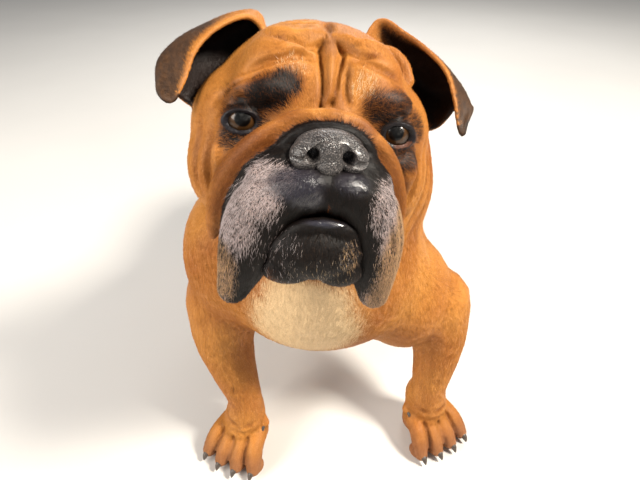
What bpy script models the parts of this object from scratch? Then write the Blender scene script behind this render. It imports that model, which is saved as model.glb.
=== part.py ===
"""An english bulldog, standing with its head raised to the viewer, life size, for display as a museum model.

Metres, +Z up. The dog faces -Y and its left side is +X. The origin is on the floor, at the middle of its footprint.
Masses and rolls of clay are laid on the skeleton's landmarks, fused into one body, given their skin folds, and then
parted with thin cuts into the sub-parts that a person would name.
"""

import math

import bmesh
import bpy
import numpy as np
from mathutils import Euler, Matrix, Vector

# Driving dimensions
WITHERS_HEIGHT = 0.385
HEAD_WIDTH = 0.186
HEAD_PITCH = 23.0  # degrees above level
HEAD_YAW = 8.5  # degrees towards the dog's left
HEAD_ROLL = 8.6  # degrees, left eye low
MID_EYES = (-0.0225, -0.010, 0.426)  # between the eyes, from the floor midway between the front paws
FACE_FULLNESS = (0.91, 1.05)  # its muzzle hangs a little to the right
EYE_SPACING = 0.104
EYEBALL_RADIUS = 0.0125
LID_THICKNESS = 0.003
EAR_THICKNESS = 0.0036

# The lists below are drawn in these units, so that they follow the driving dimensions
BODY_UNIT = WITHERS_HEIGHT / 385
HEAD_UNIT = HEAD_WIDTH / 186

CUT_GAP = 0.0003
BODY_VOXEL = 0.006
SKIN_VOXEL = 0.0026
WHOLE_TRIANGLES = 7600
EAR_TRIANGLES = 520
JAW_TRIANGLES = 440
NOSE_TRIANGLES = 480
NOSTRIL_TRIANGLES = 220


def head_frame():
    """The head's own axes: X to the dog's left, Y back and Z up when the head is level, from between the eyes."""
    turn = (
        Matrix.Rotation(math.radians(HEAD_YAW), 4, "Z")
        @ Matrix.Rotation(math.radians(-HEAD_PITCH), 4, "X")
        @ Matrix.Rotation(math.radians(HEAD_ROLL), 4, "Y")
    )
    return Matrix.Translation(MID_EYES) @ turn @ Matrix.Scale(HEAD_UNIT, 4)


def paw_frame(across, back, splay, size=1.0):
    """A paw's axes, on the floor under its knuckles. Splay turns the toes out, in degrees."""
    place = Matrix.Translation((across * BODY_UNIT, back * BODY_UNIT, 0))
    return place @ Matrix.Rotation(math.radians(splay), 4, "Z") @ Matrix.Scale(size * BODY_UNIT, 4)


HEAD = head_frame()
BODY = Matrix.Scale(BODY_UNIT, 4)


# Masses: centre and radii. Rolls: centres along the roll, and the radius at each. Those in a PAIR list are mirrored.
TRUNK_MASSES = (
    ((-22, 72, 246), (108, 94, 94)),  # forechest
    ((-20, 170, 266), (120, 125, 108)),  # ribs
    ((-20, 110, 206), (84, 100, 54)),  # brisket
    ((-20, 160, 326), (72, 78, 56)),  # withers
    ((-17, 215, 308), (72, 66, 54)),  # back
    ((-14, 285, 290), (92, 100, 88)),  # loin
    ((-14, 250, 240), (86, 105, 56)),  # belly
    ((-8, 366, 280), (84, 66, 84)),  # rump
)
NECK_ROLL = (((-20, 122, 306), (-22, 90, 334), (-24, 58, 358), (-25, 36, 372)), (114, 109, 92, 76))
THROAT_ROLL = (((-24, -4, 346), (-24, 6, 312), (-23, 34, 270)), (36, 50, 72))
TAIL_ROLL = (((-8, 416, 306), (-9, 438, 296), (-10, 450, 276), (-9, 455, 254), (-6, 454, 238)), (26, 20, 14.5, 10, 6.5))
RIGHT_FORELEG_MASSES = (
    ((-106, 80, 250), (58, 70, 82)),  # shoulder
    ((-128, 84, 188), (34, 36, 40)),  # elbow
)
RIGHT_FORELEG_ROLL = (
    ((-126, 68, 198), (-130, 57, 150), (-124, 45, 122), (-116, 33, 100), (-109, 25, 80), (-111, 20, 52)),
    (44, 36, 30, 25, 21.5, 24),
)
LEFT_FORELEG_MASSES = (
    ((66, 80, 198), (56, 68, 66)),
    ((99, 90, 172), (36, 36, 40)),
)
LEFT_FORELEG_ROLL = (
    ((102, 74, 186), (111, 64, 146), (111, 55, 122), (108, 47, 98), (106, 41, 78), (108, 38, 52)),
    (43, 34, 29, 25, 22, 24),
)
RIGHT_HINDLEG_MASSES = (
    ((-72, 352, 246), (46, 72, 84)),  # thigh
    ((-84, 318, 200), (34, 34, 36)),  # stifle
)
RIGHT_HINDLEG_ROLL = (
    ((-84, 330, 205), (-88, 366, 160), (-86, 408, 122), (-86, 418, 96), (-86, 404, 56)),
    (40, 32, 21, 19, 19),
)
RIGHT_HOCK = ((-86, 428, 112), (15, 18, 22))
HIND_AXIS = -8  # the hind legs mirror about this x

# Each paw's axes, and on which side of them its dewclaw is
PAWS = {
    "forepaw_right": (paw_frame(-116, 14, -24), 1),
    "forepaw_left": (paw_frame(110, 34, 28), -1),
    "hindpaw_right": (paw_frame(-90, 386, -8, 0.86), 0),
    "hindpaw_left": (paw_frame(74, 386, 10, 0.86), 0),
}

PAW_MASSES = (
    ((0, 10, 12), (25, 23, 16)),  # sole pad
    ((0, -6, 17), (27, 15, 11)),  # between the toes
    ((0, 4, 34), (31, 20, 18)),  # knuckles
)
PAW_ROLL = (((0, 14, 62), (0, 10, 46), (0, 4, 34)), (23, 25, 25))
TOES = (-1.5, -0.5, 0.5, 1.5)  # places across the paw
TOE_ROLL_RADII = (11, 10.8, 10, 8.6)
CLAW_PATH = ((0, 0, 12.5), (0.3, -6, 11.5), (0.5, -9.8, 8.8), (0.6, -12.2, 5.2))  # from the toe's tip
CLAW_RADII = (4.2, 3.7, 2.5, 0)
DEWCLAW = (25, 15, 44)  # the tip of its toe

SKULL_MASSES = (
    ((0, 58, 8), (78, 72, 66)),  # skull
    ((0, 46, 50), (52, 44, 24)),  # crown
    ((0, -22, -26), (40, 28, 30)),  # muzzle
    ((0, 30, -60), (58, 52, 36)),  # throat
)
SKULL_PAIRS = (
    ((48, 48, -4), (42, 52, 48)),  # temple
    ((28, 14, 34), (28, 24, 26)),  # forehead
    ((38, 1, 20), (25, 16, 13)),  # brow
    ((60, 44, -30), (31, 42, 42)),  # cheek
    ((50, 8, -24), (24, 17, 22)),  # below the eye
)
NOSE_ROPE = (
    ((0, -36, 8), (19, -34, 4), (30, -31.5, -4), (40, -27, -13), (50, -19, -26), (58, -11, -43), (62, -4, -61),
     (64, 5, -78)),
    (4.8, 5.6, 6.6, 7.8, 8.8, 9, 7.4, 4),
)
NOSE_BED = (((0, -43, 0), (14, -42, -2.5), (25, -39, -11), (29, -35, -21)), (4.6, 4.6, 4.6, 4))
FLEWS = (
    (((4, -46, -33), (16, -45, -37), (30, -38, -46), (38, -32, -62), (42, -28, -80), (46, -23, -96), (49, -18, -108)),
     (13, 16, 20, 21, 18.5, 14, 11)),
    (((34, -22, -32), (42, -12, -54), (43, -3, -76), (44, 6, -88)), (16, 17, 16, 12)),
    (((24, -38, -24), (30, -35, -34)), (13, 17)),
    (((0, -46, -38), (9, -46, -40)), (10.5, 12)),
)
JAW_MASSES = (
    ((-2, -38.5, -72), (32, 19, 20.5)),  # chin
    ((15, -33, -85), (17, 16, 13)),
    ((-18, -32, -85), (19, 16, 13)),
    ((0, -12, -76), (32, 36, 20)),  # jaw
)
LOWER_LIP = (((0, -51, -55), (11, -50.5, -57), (20, -46, -62), (26, -40, -69)), (4.8, 4.8, 5, 5))
NOSE_MASSES = (
    ((0, -45, -12), (21, 13.5, 12.5)),  # bulb
    ((0, -50.5, -20.5), (8, 7.2, 7.5)),  # columella
)
NOSE_WING = ((13.5, -48, -16), (10, 9, 9.5))
EYE_CENTRE = (EYE_SPACING / 2 / HEAD_UNIT, 6, 1)
LID_OPENING = ((0, -13, -0.8), (10.2, 9, 7.6))  # from the eyeball's centre
NOSTRIL = (((6.4, -60, -8), (8.2, -58, -12), (9.6, -57, -17), (9, -50, -14)), (3, 4, 3.4, 2.8))
NOSTRIL_SLIT = (((9.5, -58, -17.5), (15.5, -57, -20.5), (22, -52, -20.5)), (2.8, 2.4, 1.8))

# Ears: rows of points from the skull over the fold to the tip, and in each row from the upper edge to the lower one.
# The ear is a cup that opens forwards, and its upper part folds forwards and out. The left one droops a little more.
RIGHT_EAR = (
    ((-33, 56, 58), (-46, 72, 52), (-66, 70, 32), (-80, 44, 4)),
    ((-48, 50, 71), (-46, 71, 76), (-81, 74, 47), (-92, 42, 10)),
    ((-60, 44, 69), (-62, 64, 75), (-95, 65, 51), (-98, 38, 14)),
    ((-76, 37, 57), (-79, 54, 65), (-104, 51, 44), (-104, 33, 18)),
    ((-86, 30, 42), (-93, 39, 52), (-109, 37, 37), (-109, 27, 23)),
    ((-90, 24, 26), (-98, 27, 34), (-108, 25, 26), (-108, 20, 14)),
    ((-94, 18, 14), (-97, 17, 9), (-100, 16, 7), (-104, 15, 9)),
)
LEFT_EAR = (
    ((34, 70, 60), (50, 74, 52), (66, 70, 32), (80, 44, 4)),
    ((48, 69, 85), (67, 82, 65), (90, 79, 38), (96, 44, 9)),
    ((67, 62, 77), (83, 76, 63), (105, 69, 36), (101, 38, 16)),
    ((80, 49, 66), (93, 61, 61), (110, 57, 40), (106, 36, 24)),
    ((94, 38, 51), (104, 46, 48), (114, 45, 38), (117, 33, 26)),
    ((100, 29, 33), (106, 33, 33), (113, 33, 27), (116, 28, 21)),
    ((104, 22, 12), (107, 21, 5), (110, 21, 5), (111, 22, 13)),
)
LEFT_EAR_ROOT = (((42, 60, 58), (54, 54, 59), (64, 49, 52), (70, 44, 40)), (6.5, 7, 6.5, 5))  # a fold before the cup

# Where the nodes part. The head's plane is in its own frame, tilted from behind the ears to below the jaw.
HEAD_CUT_SLOPE = (0.75, -0.66)
HEAD_CUT_TURN = Matrix.Rotation(math.atan2(HEAD_CUT_SLOPE[1], HEAD_CUT_SLOPE[0]), 4, "X")
HEAD_CUT = 82
NECK_CUT = BODY @ Matrix.Translation((-22, 120, 345)) @ Matrix.Rotation(math.radians(30), 4, "X")
TAIL_BLOCK = ((-46, 436, 200), (30, 520, 324))
LIMB_BLOCKS = (
    ("forepaw_right", (-260, -200, -20), (-40, 200, 52)),
    ("forepaw_left", (40, -200, -20), (260, 200, 52)),
    ("foreleg_right", (-260, -200, 40), (-72, 160, 196)),
    ("foreleg_left", (56, -200, 40), (260, 160, 190)),
    ("hindpaw_right", (-260, 250, -20), (-20, 600, 46)),
    ("hindpaw_left", (-8, 250, -20), (260, 600, 46)),
    ("hindleg_right", (-260, 270, 40), (-40, 600, 190)),
    ("hindleg_left", (24, 270, 40), (260, 600, 190)),
    ("thigh_right", (-260, 280, 180), (-52, 600, 306)),
    ("thigh_left", (36, 280, 180), (260, 600, 306)),
)

# Colour, roughness and metallic value of each kind of surface
COAT = ((0.47, 0.19, 0.06), 0.55, 0.0)
EAR_COAT = ((0.16, 0.09, 0.06), 0.6, 0.0)
MASK = ((0.05, 0.035, 0.03), 0.55, 0.0)
PALE_TOES = ((0.55, 0.27, 0.13), 0.55, 0.0)
NOSE_LEATHER = ((0.035, 0.032, 0.033), 0.38, 0.0)
EYE = ((0.03, 0.015, 0.008), 0.08, 0.0)
LOOKS = {
    "lower_jaw": MASK,
    "nose": NOSE_LEATHER,
    "eye_left": EYE,
    "eye_right": EYE,
    "ear_left": EAR_COAT,
    "ear_right": EAR_COAT,
    "forepaw_left": PALE_TOES,
    "forepaw_right": PALE_TOES,
    "hindpaw_left": PALE_TOES,
    "hindpaw_right": PALE_TOES,
}

# Skin folds: points along the fold, its half width, and its height, which is negative for a crease
HEAD_FOLDS = (
    (((0, -13, 14), (0, -8, 36), (0, 2, 56)), 4.0, 2.0),
    (((2, -15, 11), (-6, -12, 24), (-8, -8, 38), (-4, 0, 54), (0, 12, 66), (0, 34, 76)), 2.8, -5.0),
    (((2, -15, 11), (7, -12, 24), (8, -8, 38), (5, 0, 54), (0, 12, 66)), 2.8, -5.0),
    (((0, -57, -24), (0, -60, -34), (0, -58, -46)), 1.8, -3.0),
)
HEAD_FOLD_PAIRS = (
    (((8, -8, 49), (24, -6, 50), (42, 2, 42), (56, 14, 32)), 2.8, -3.4),
    (((8, -11, 38), (21, -12, 40), (36, -8, 36)), 2.6, -2.8),
    (((9, -10, 56), (24, 2, 59), (44, 10, 52)), 3.4, 1.6),
    (((4, -19, 14), (16, -22, 10), (28, -21, 5), (36, -16, -1), (41, -9, -3)), 2.6, -4.0),
    (((70, 4, -6), (72, 6, -28), (70, 8, -52)), 3.4, -2.8),
    (((80, 16, 0), (82, 18, -28), (78, 22, -56)), 3.8, -2.4),
)


def smooth_path(points, radii, spacing=0.3):
    """Points and radii along a smooth curve through the given ones, closer together where the roll is thin."""
    knots = np.column_stack([np.array(points, float), np.array(radii, float)])
    knots = np.vstack([2 * knots[0] - knots[1], knots, 2 * knots[-1] - knots[-2]])
    path = [knots[1]]
    for a, b, c, d in zip(knots, knots[1:], knots[2:], knots[3:]):
        steps = max(2, math.ceil(np.linalg.norm((c - b)[:3]) / (spacing * min(b[3], c[3]))))
        for t in np.arange(1, steps + 1) / steps:
            path.append(0.5 * (2 * b + (c - a) * t + (2 * a - 5 * b + 4 * c - d) * t**2 + (3 * b - a - 3 * c + d) * t**3))
    return np.array(path)


def mirrored(points, axis=0.0):
    """The same points on the other side of the plane x = axis."""
    return tuple((2 * axis - x, y, z) for x, y, z in points)


def finished(obj):
    """The object with its modifiers applied."""
    graph = bpy.context.evaluated_depsgraph_get()
    mesh = bpy.data.meshes.new_from_object(obj.evaluated_get(graph))
    obj.modifiers.clear()
    old, obj.data = obj.data, mesh
    bpy.data.meshes.remove(old)
    mesh.name = obj.name
    return obj


def unit_ball(fineness):
    """Points and triangles of a ball of radius 1."""
    mesh = bmesh.new()
    bmesh.ops.create_icosphere(mesh, subdivisions=fineness, radius=1)
    points = np.array([vert.co for vert in mesh.verts])
    faces = np.array([[vert.index for vert in face.verts] for face in mesh.faces])
    mesh.free()
    return points, faces


BALLS = {fineness: unit_ball(fineness) for fineness in (1, 2, 3, 4)}


class Clay:
    """Balls and rolls of clay in one frame, fused later into one closed skin."""

    def __init__(self, frame=BODY):
        self.points = []
        self.faces = []
        self.count = 0
        self.frame = frame

    def take(self, points, faces):
        self.points.append(points)
        self.faces.append(faces + self.count)
        self.count += len(points)

    def ball(self, centre, radii, turn=(0, 0, 0), fineness=3):
        shape = Matrix.LocRotScale(Vector(centre), Euler([math.radians(a) for a in turn]), Vector(radii))
        place = np.array(self.frame @ shape)
        points, faces = BALLS[fineness]
        self.take(points @ place[:3, :3].T + place[:3, 3], faces)

    def roll(self, points, radii):
        for x, y, z, radius in smooth_path(points, radii):
            self.ball((x, y, z), (radius, radius, radius), fineness=2)

    def pair(self, centre, radii):
        self.ball(centre, radii)
        self.ball(mirrored([centre])[0], radii)

    def roll_pair(self, points, radii, fullness=(1, 1)):
        """A roll on the dog's left and its mirror image on the right. Fullness stretches each one sideways."""
        for points, wide in zip((points, mirrored(points)), fullness):
            self.roll([(x * wide, y, z) for x, y, z in points], radii)

    def add(self, obj):
        """Takes a finished object's skin into this clay, and removes the object."""
        obj.data.calc_loop_triangles()
        points = np.array([vert.co for vert in obj.data.vertices])
        self.take(points, np.array([tri.vertices for tri in obj.data.loop_triangles]))
        bpy.data.objects.remove(obj)

    def fused(self, name, voxel, softening):
        mesh = bpy.data.meshes.new(name)
        mesh.from_pydata(np.vstack(self.points).tolist(), [], np.vstack(self.faces).tolist())
        obj = bpy.data.objects.new(name, mesh)
        bpy.context.collection.objects.link(obj)
        fuse = obj.modifiers.new("Fuse", "REMESH")
        fuse.mode = "VOXEL"
        fuse.voxel_size = voxel
        soften = obj.modifiers.new("Soften", "SMOOTH")
        soften.factor = 0.5
        soften.iterations = softening
        return finished(obj)


def distances_to_path(points, path):
    """How far each point is from a polyline, and how far along it the nearest place is, from 0 to 1."""
    nearest = np.full(len(points), np.inf)
    along = np.zeros(len(points))
    for i, (a, b) in enumerate(zip(path, path[1:])):
        step = b - a
        t = np.clip((points - a) @ step / (step @ step), 0, 1)
        distance = np.linalg.norm(points - a - t[:, None] * step, axis=1)
        closer = distance < nearest
        nearest[closer] = distance[closer]
        along[closer] = (i + t[closer]) / (len(path) - 1)
    return nearest, along


def fold_skin(obj, frame, folds):
    """Raises or presses the skin along each fold, which fades out at both ends."""
    count = len(obj.data.vertices)
    places = np.empty(count * 3)
    normals = np.empty(count * 3)
    obj.data.vertices.foreach_get("co", places)
    obj.data.vertices.foreach_get("normal", normals)
    places = places.reshape(-1, 3)
    normals = normals.reshape(-1, 3)
    unit = frame.to_scale()[0]
    shift = np.zeros(count)
    for points, half_width, height in folds:
        path = smooth_path(points, [8] * len(points))[:, :3]
        path = np.array([frame @ Vector(p) for p in path])
        distance, along = distances_to_path(places, path)
        fade = np.clip(np.minimum(along, 1 - along) / 0.18, 0.15, 1)
        shift += height * unit * fade * np.exp(-((distance / (half_width * unit)) ** 2))
    obj.data.vertices.foreach_set("co", (places + normals * shift[:, None]).ravel())
    obj.data.update()


def boolean(obj, other, operation):
    """Cuts or keeps what the other object covers."""
    cut = obj.modifiers.new("Cut", "BOOLEAN")
    cut.operation = operation
    cut.object = other
    return finished(obj)


def copy_of(obj, name):
    copy = obj.copy()
    copy.data = obj.data.copy()
    copy.name = name
    bpy.context.collection.objects.link(copy)
    return copy


def grown(obj, amount=CUT_GAP):
    """A copy of the object, its skin moved out by the gap that touching pieces keep."""
    copy = copy_of(obj, "grown " + obj.name)
    places = np.empty(len(copy.data.vertices) * 3)
    normals = np.empty_like(places)
    copy.data.vertices.foreach_get("co", places)
    copy.data.vertices.foreach_get("normal", normals)
    copy.data.vertices.foreach_set("co", places + normals * amount)
    copy.data.update()
    return copy


def keep_largest(obj):
    """Drops loose scraps, and keeps the largest closed surface."""
    mesh = bmesh.new()
    mesh.from_mesh(obj.data)
    unseen = set(mesh.verts)
    pieces = []
    while unseen:
        front = [unseen.pop()]
        piece = list(front)
        while front:
            for edge in front.pop().link_edges:
                for vert in edge.verts:
                    if vert in unseen:
                        unseen.discard(vert)
                        front.append(vert)
                        piece.append(vert)
        pieces.append(piece)
    pieces.sort(key=len)
    for piece in pieces[:-1]:
        bmesh.ops.delete(mesh, geom=piece, context="VERTS")
    mesh.to_mesh(obj.data)
    mesh.free()
    return obj


def block(low, high, frame=BODY):
    """A box between two corners of a frame, used as a cutter."""
    low, high = Vector(low), Vector(high)
    mesh = bmesh.new()
    bmesh.ops.create_cube(mesh, size=1, matrix=frame @ Matrix.LocRotScale((low + high) / 2, None, high - low))
    data = bpy.data.meshes.new("block")
    mesh.to_mesh(data)
    mesh.free()
    obj = bpy.data.objects.new("block", data)
    bpy.context.collection.objects.link(obj)
    return obj


def part_off(body, name, cutter):
    """Parts off what lies inside the cutter as a node of its own, with a thin gap to the rest."""
    piece = boolean(copy_of(body, name), cutter, "INTERSECT")
    wider = grown(cutter)
    boolean(body, wider, "DIFFERENCE")
    bpy.data.objects.remove(wider)
    bpy.data.objects.remove(cutter)
    keep_largest(body)
    return keep_largest(piece)


def make_trunk():
    clay = Clay()
    for centre, radii in TRUNK_MASSES:
        clay.ball(centre, radii)
    clay.roll(*NECK_ROLL)
    clay.roll(*THROAT_ROLL)
    for masses in (RIGHT_FORELEG_MASSES, LEFT_FORELEG_MASSES, RIGHT_HINDLEG_MASSES):
        for centre, radii in masses:
            clay.ball(centre, radii)
    for centre, radii in RIGHT_HINDLEG_MASSES:
        clay.ball(mirrored([centre], HIND_AXIS)[0], radii)
    return clay.fused("trunk", BODY_VOXEL, 26)


def make_body():
    """The trunk with its legs and tail."""
    trunk = make_trunk()
    clay = Clay()
    clay.add(trunk)
    clay.roll(*RIGHT_FORELEG_ROLL)
    clay.roll(*LEFT_FORELEG_ROLL)
    points, radii = RIGHT_HINDLEG_ROLL
    clay.roll(points, radii)
    clay.roll(mirrored(points, HIND_AXIS), radii)
    centre, radii = RIGHT_HOCK
    clay.ball(centre, radii)
    clay.ball(mirrored([centre], HIND_AXIS)[0], radii)
    clay.roll(*TAIL_ROLL)
    return clay.fused("body", 0.004, 9)


def toe_points(place):
    """The centre line of a toe, from the knuckle to the tip. Place runs from -1.5 to 1.5 across the paw."""
    reach = 36 - 4.5 * abs(place)
    return ((place * 13.5, 8, 34), (place * 16, -11, 31), (place * 18.5, 8 - reach, 22), (place * 20, -reach, 11))


def make_paw(frame, side=0):
    """Side is the side of the dewclaw's toe, or 0 for none."""
    clay = Clay(frame)
    for centre, radii in PAW_MASSES:
        clay.ball(centre, radii)
    clay.roll(*PAW_ROLL)
    for place in TOES:
        points = toe_points(place)
        clay.roll(points, TOE_ROLL_RADII)
        x, y, _ = points[-1]
        clay.ball((x, y + 8, 6), (8.2, 11, 8))
    if side:
        x, y, z = DEWCLAW
        clay.roll(((side * (x - 8), y, z + 6), (side * x, y - 3, z)), (7, 6.5))
    return clay.fused("paw", SKIN_VOXEL * 0.7, 2)


def claw_lines(side=0):
    """The centre line of each claw of a paw."""
    for place in TOES:
        x, y, _ = toe_points(place)[-1]
        yield [(x + across * place, y + ahead, up) for across, ahead, up in CLAW_PATH]
    if side:
        x, y, z = DEWCLAW
        yield [(side * x, y - 4, z), (side * (x + 0.6), y - 9, z - 1), (side * (x + 0.8), y - 13, z - 4), (side * x, y - 15, z - 8)]


def make_claw(frame, line):
    """A tapered, curved horn with six sides."""
    points = []
    for i, (centre, radius) in enumerate(zip(line, CLAW_RADII)):
        behind, before = line[max(i - 1, 0)], line[min(i + 1, len(line) - 1)]
        ahead = Vector(before) - Vector(behind)
        turn = ahead.to_track_quat("Y", "Z").to_matrix()
        angles = [0] if radius == 0 else [k * math.pi / 3 for k in range(6)]
        for angle in angles:
            points.append(frame @ (Vector(centre) + turn @ Vector((radius * math.cos(angle), 0, radius * math.sin(angle)))))
    faces = [(0, 1, 2, 3, 4, 5)]
    rings = len(CLAW_RADII) - 1
    for ring in range(rings - 1):
        for k in range(6):
            a, b = ring * 6 + k, ring * 6 + (k + 1) % 6
            faces.append((a, a + 6, b + 6, b))
    for k in range(6):
        faces.append(((rings - 1) * 6 + k, rings * 6, (rings - 1) * 6 + (k + 1) % 6))
    mesh = bpy.data.meshes.new("claw")
    mesh.from_pydata([tuple(point) for point in points], [], faces)
    obj = bpy.data.objects.new("claw", mesh)
    bpy.context.collection.objects.link(obj)
    return obj


def add_claws(pieces, paws):
    """Joins each claw to the paw that it grows from."""
    for name, (frame, side) in paws.items():
        for line in claw_lines(side):
            claw = make_claw(frame, line)
            boolean(pieces[name], claw, "UNION")
            bpy.data.objects.remove(claw)


def make_head():
    clay = Clay(HEAD)
    for centre, radii in SKULL_MASSES:
        clay.ball(centre, radii)
    for centre, radii in SKULL_PAIRS:
        clay.pair(centre, radii)
    return clay.fused("skull", 0.004, 7)


def add_face(clay):
    """The folds of the muzzle and the lids, laid over the fused skull."""
    clay.frame = HEAD
    clay.roll_pair(*NOSE_ROPE, FACE_FULLNESS)
    clay.roll_pair(*NOSE_BED)
    for points, radii in FLEWS:
        clay.roll_pair(points, radii, FACE_FULLNESS)
    lid = (EYEBALL_RADIUS + LID_THICKNESS) / HEAD_UNIT
    clay.pair(EYE_CENTRE, (lid, lid, lid))
    clay.roll(*LEFT_EAR_ROOT)


def between(rows, across, along):
    """A grid of points on a smooth sheet through the rows."""
    widened = []
    for row in rows:
        path = smooth_path(row, [10] * len(row), 0.1)[:, :3]
        places = np.linspace(0, len(path) - 1, across)
        widened.append([path[round(place)] for place in places])
    columns = []
    for column in zip(*widened):
        path = smooth_path(column, [10] * len(column), 0.1)[:, :3]
        places = np.linspace(0, len(path) - 1, along)
        columns.append([path[round(place)] for place in places])
    return np.array(columns)


def make_ear(name, rows):
    """A thin sheet of cartilage and skin, thicker at its root and at its rolled edge."""
    sheet = between(rows, 26, 40)
    clay = Clay(HEAD)
    half = EAR_THICKNESS / HEAD_UNIT / 2
    normal = np.cross(np.gradient(sheet, axis=0), np.gradient(sheet, axis=1))
    normal /= np.linalg.norm(normal, axis=2)[..., None]
    thick = half * np.linspace(1.5, 1, sheet.shape[1])[None, :, None]
    wide, long = sheet.shape[:2]
    points = np.vstack([(sheet + normal * thick).reshape(-1, 3), (sheet - normal * thick).reshape(-1, 3)])
    faces = []
    for i in range(wide - 1):
        for j in range(long - 1):
            a, b, c, d = i * long + j, i * long + j + 1, (i + 1) * long + j + 1, (i + 1) * long + j
            back = wide * long
            faces += [(a, b, c), (a, c, d), (back + a, back + c, back + b), (back + a, back + d, back + c)]
    rim = [(i, 0) for i in range(wide)] + [(wide - 1, j) for j in range(1, long)]
    rim += [(i, long - 1) for i in range(wide - 2, -1, -1)] + [(0, j) for j in range(long - 2, 0, -1)]
    for (i, j), (k, m) in zip(rim, rim[1:] + rim[:1]):
        a, b = i * long + j, k * long + m
        faces += [(a, b, b + wide * long), (a, b + wide * long, a + wide * long)]
    clay.take(points @ np.array(HEAD)[:3, :3].T + np.array(HEAD)[:3, 3], np.array(faces))
    for i, j in rim:
        radius = 1.15 * thick[0, j, 0]
        clay.ball(sheet[i, j], (radius, radius, radius), fineness=2)
    return clay.fused(name, 0.0011, 5)


def make_jaw():
    clay = Clay(HEAD)
    for centre, radii in JAW_MASSES:
        clay.ball(centre, radii)
    clay.roll_pair(*LOWER_LIP)
    return clay.fused("lower_jaw", 0.0016, 4)


def make_nose():
    clay = Clay(HEAD)
    for centre, radii in NOSE_MASSES:
        clay.ball(centre, radii)
    clay.pair(*NOSE_WING)
    nose = thinned(clay.fused("nose", 0.001, 4), NOSE_TRIANGLES)
    nostrils = Clay(HEAD)
    nostrils.roll_pair(*NOSTRIL)
    nostrils.roll_pair(*NOSTRIL_SLIT)
    cut_away(nose, thinned(nostrils.fused("nostrils", 0.0007, 2), NOSTRIL_TRIANGLES))
    return keep_largest(nose)


def make_whole():
    """The fused animal, without its ears, nose leather, jaw and eyes."""
    body, skull = make_body(), make_head()
    paws = [make_paw(frame, side) for frame, side in PAWS.values()]
    clay = Clay()
    for piece in (body, skull, *paws):
        clay.add(piece)
    add_face(clay)
    whole = keep_largest(clay.fused("torso", SKIN_VOXEL, 3))
    folds = list(HEAD_FOLDS)
    for points, half_width, height in HEAD_FOLD_PAIRS:
        folds.append((points, half_width, height))
        folds.append((mirrored(points), half_width, height))
    fold_skin(whole, HEAD, folds)
    return whole


def make_eye(name, side, growth=0.0):
    """An eyeball, or with growth the cutter for its socket."""
    x, y, z = EYE_CENTRE
    radius = (EYEBALL_RADIUS + growth) / HEAD_UNIT
    return solid_ball(name, (side * x, y, z), (radius, radius, radius), 3)


def make_lid_opening(side):
    (_, back, up), radii = LID_OPENING
    x, y, z = EYE_CENTRE
    return solid_ball("lid opening", (side * x, y + back, z + up), radii, 3)


def solid_ball(name, centre, radii, fineness):
    clay = Clay(HEAD)
    clay.ball(centre, radii, fineness=fineness)
    mesh = bpy.data.meshes.new(name)
    mesh.from_pydata(clay.points[0].tolist(), [], clay.faces[0].tolist())
    obj = bpy.data.objects.new(name, mesh)
    bpy.context.collection.objects.link(obj)
    return obj


def thinned(obj, triangles, keep=None):
    """The object with fewer triangles. Keep gives each point a weight, and a lower one keeps more of its triangles."""
    obj.data.calc_loop_triangles()
    cut = obj.modifiers.new("Thin", "DECIMATE")
    cut.ratio = triangles / len(obj.data.loop_triangles)
    if keep is not None:
        group = obj.vertex_groups.new(name="keep")
        for level in np.unique(keep):
            group.add([int(i) for i in np.flatnonzero(keep == level)], float(level), "REPLACE")
        cut.vertex_group = "keep"
        cut.vertex_group_factor = 0.008
    return finished(obj)


def detail_weights(obj):
    """Low on the face, higher on the rest of the head and the paws, and highest on the body."""
    places = np.array([vert.co for vert in obj.data.vertices])
    to_head = np.array(HEAD.inverted())
    local = places @ to_head[:3, :3].T + to_head[:3, 3]
    weights = np.ones(len(places))
    weights[places[:, 2] < 0.055] = 0.45
    head = HEAD_CUT_SLOPE[0] * local[:, 1] + HEAD_CUT_SLOPE[1] * local[:, 2] < HEAD_CUT
    weights[head] = 0.5
    weights[head & (local[:, 1] < 12)] = 0.1
    return weights


def cut_away(obj, cutter, growth=0.0):
    """Cuts the cutter's shape from the object. With growth the cutter stays, and a wider copy of it cuts."""
    wider = grown(cutter, growth) if growth else cutter
    boolean(obj, wider, "DIFFERENCE")
    bpy.data.objects.remove(wider)


def fit_face(whole):
    """The pieces that are set into the head, with the gap that touching pieces keep."""
    jaw = thinned(make_jaw(), JAW_TRIANGLES)
    nose = make_nose()
    cut_away(whole, jaw, CUT_GAP)
    cut_away(whole, nose, CUT_GAP)
    for name, side in (("eye_left", 1), ("eye_right", -1)):
        make_eye(name, side)
        cut_away(whole, make_eye("socket", side, CUT_GAP))
        cut_away(whole, make_lid_opening(side))
    for name, rows in (("ear_left", LEFT_EAR), ("ear_right", RIGHT_EAR)):
        ear = thinned(make_ear(name, rows), EAR_TRIANGLES)
        cut_away(ear, whole, CUT_GAP)
        keep_largest(ear)
    keep_largest(whole)


def part_limbs(whole):
    """Parts the head, neck, tail and legs off, and leaves the torso."""
    part_off(whole, "head", block((-200, -250, -300), (200, HEAD_CUT, 300), HEAD @ HEAD_CUT_TURN))
    part_off(whole, "neck", block((-200, -250, 0), (200, 250, 250), NECK_CUT))
    part_off(whole, "tail", block(*TAIL_BLOCK))
    pieces = {name: part_off(whole, name, block(low, high)) for name, low, high in LIMB_BLOCKS}
    add_claws(pieces, PAWS)


def stand_at_origin():
    """Moves every piece so that the origin is at the middle of the footprint."""
    corners = np.array([vert.co for obj in bpy.data.objects for vert in obj.data.vertices])
    low, high = corners.min(axis=0), corners.max(axis=0)
    shift = Matrix.Translation(((-low[0] - high[0]) / 2, (-low[1] - high[1]) / 2, 0))
    for obj in bpy.data.objects:
        obj.data.transform(shift)


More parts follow.
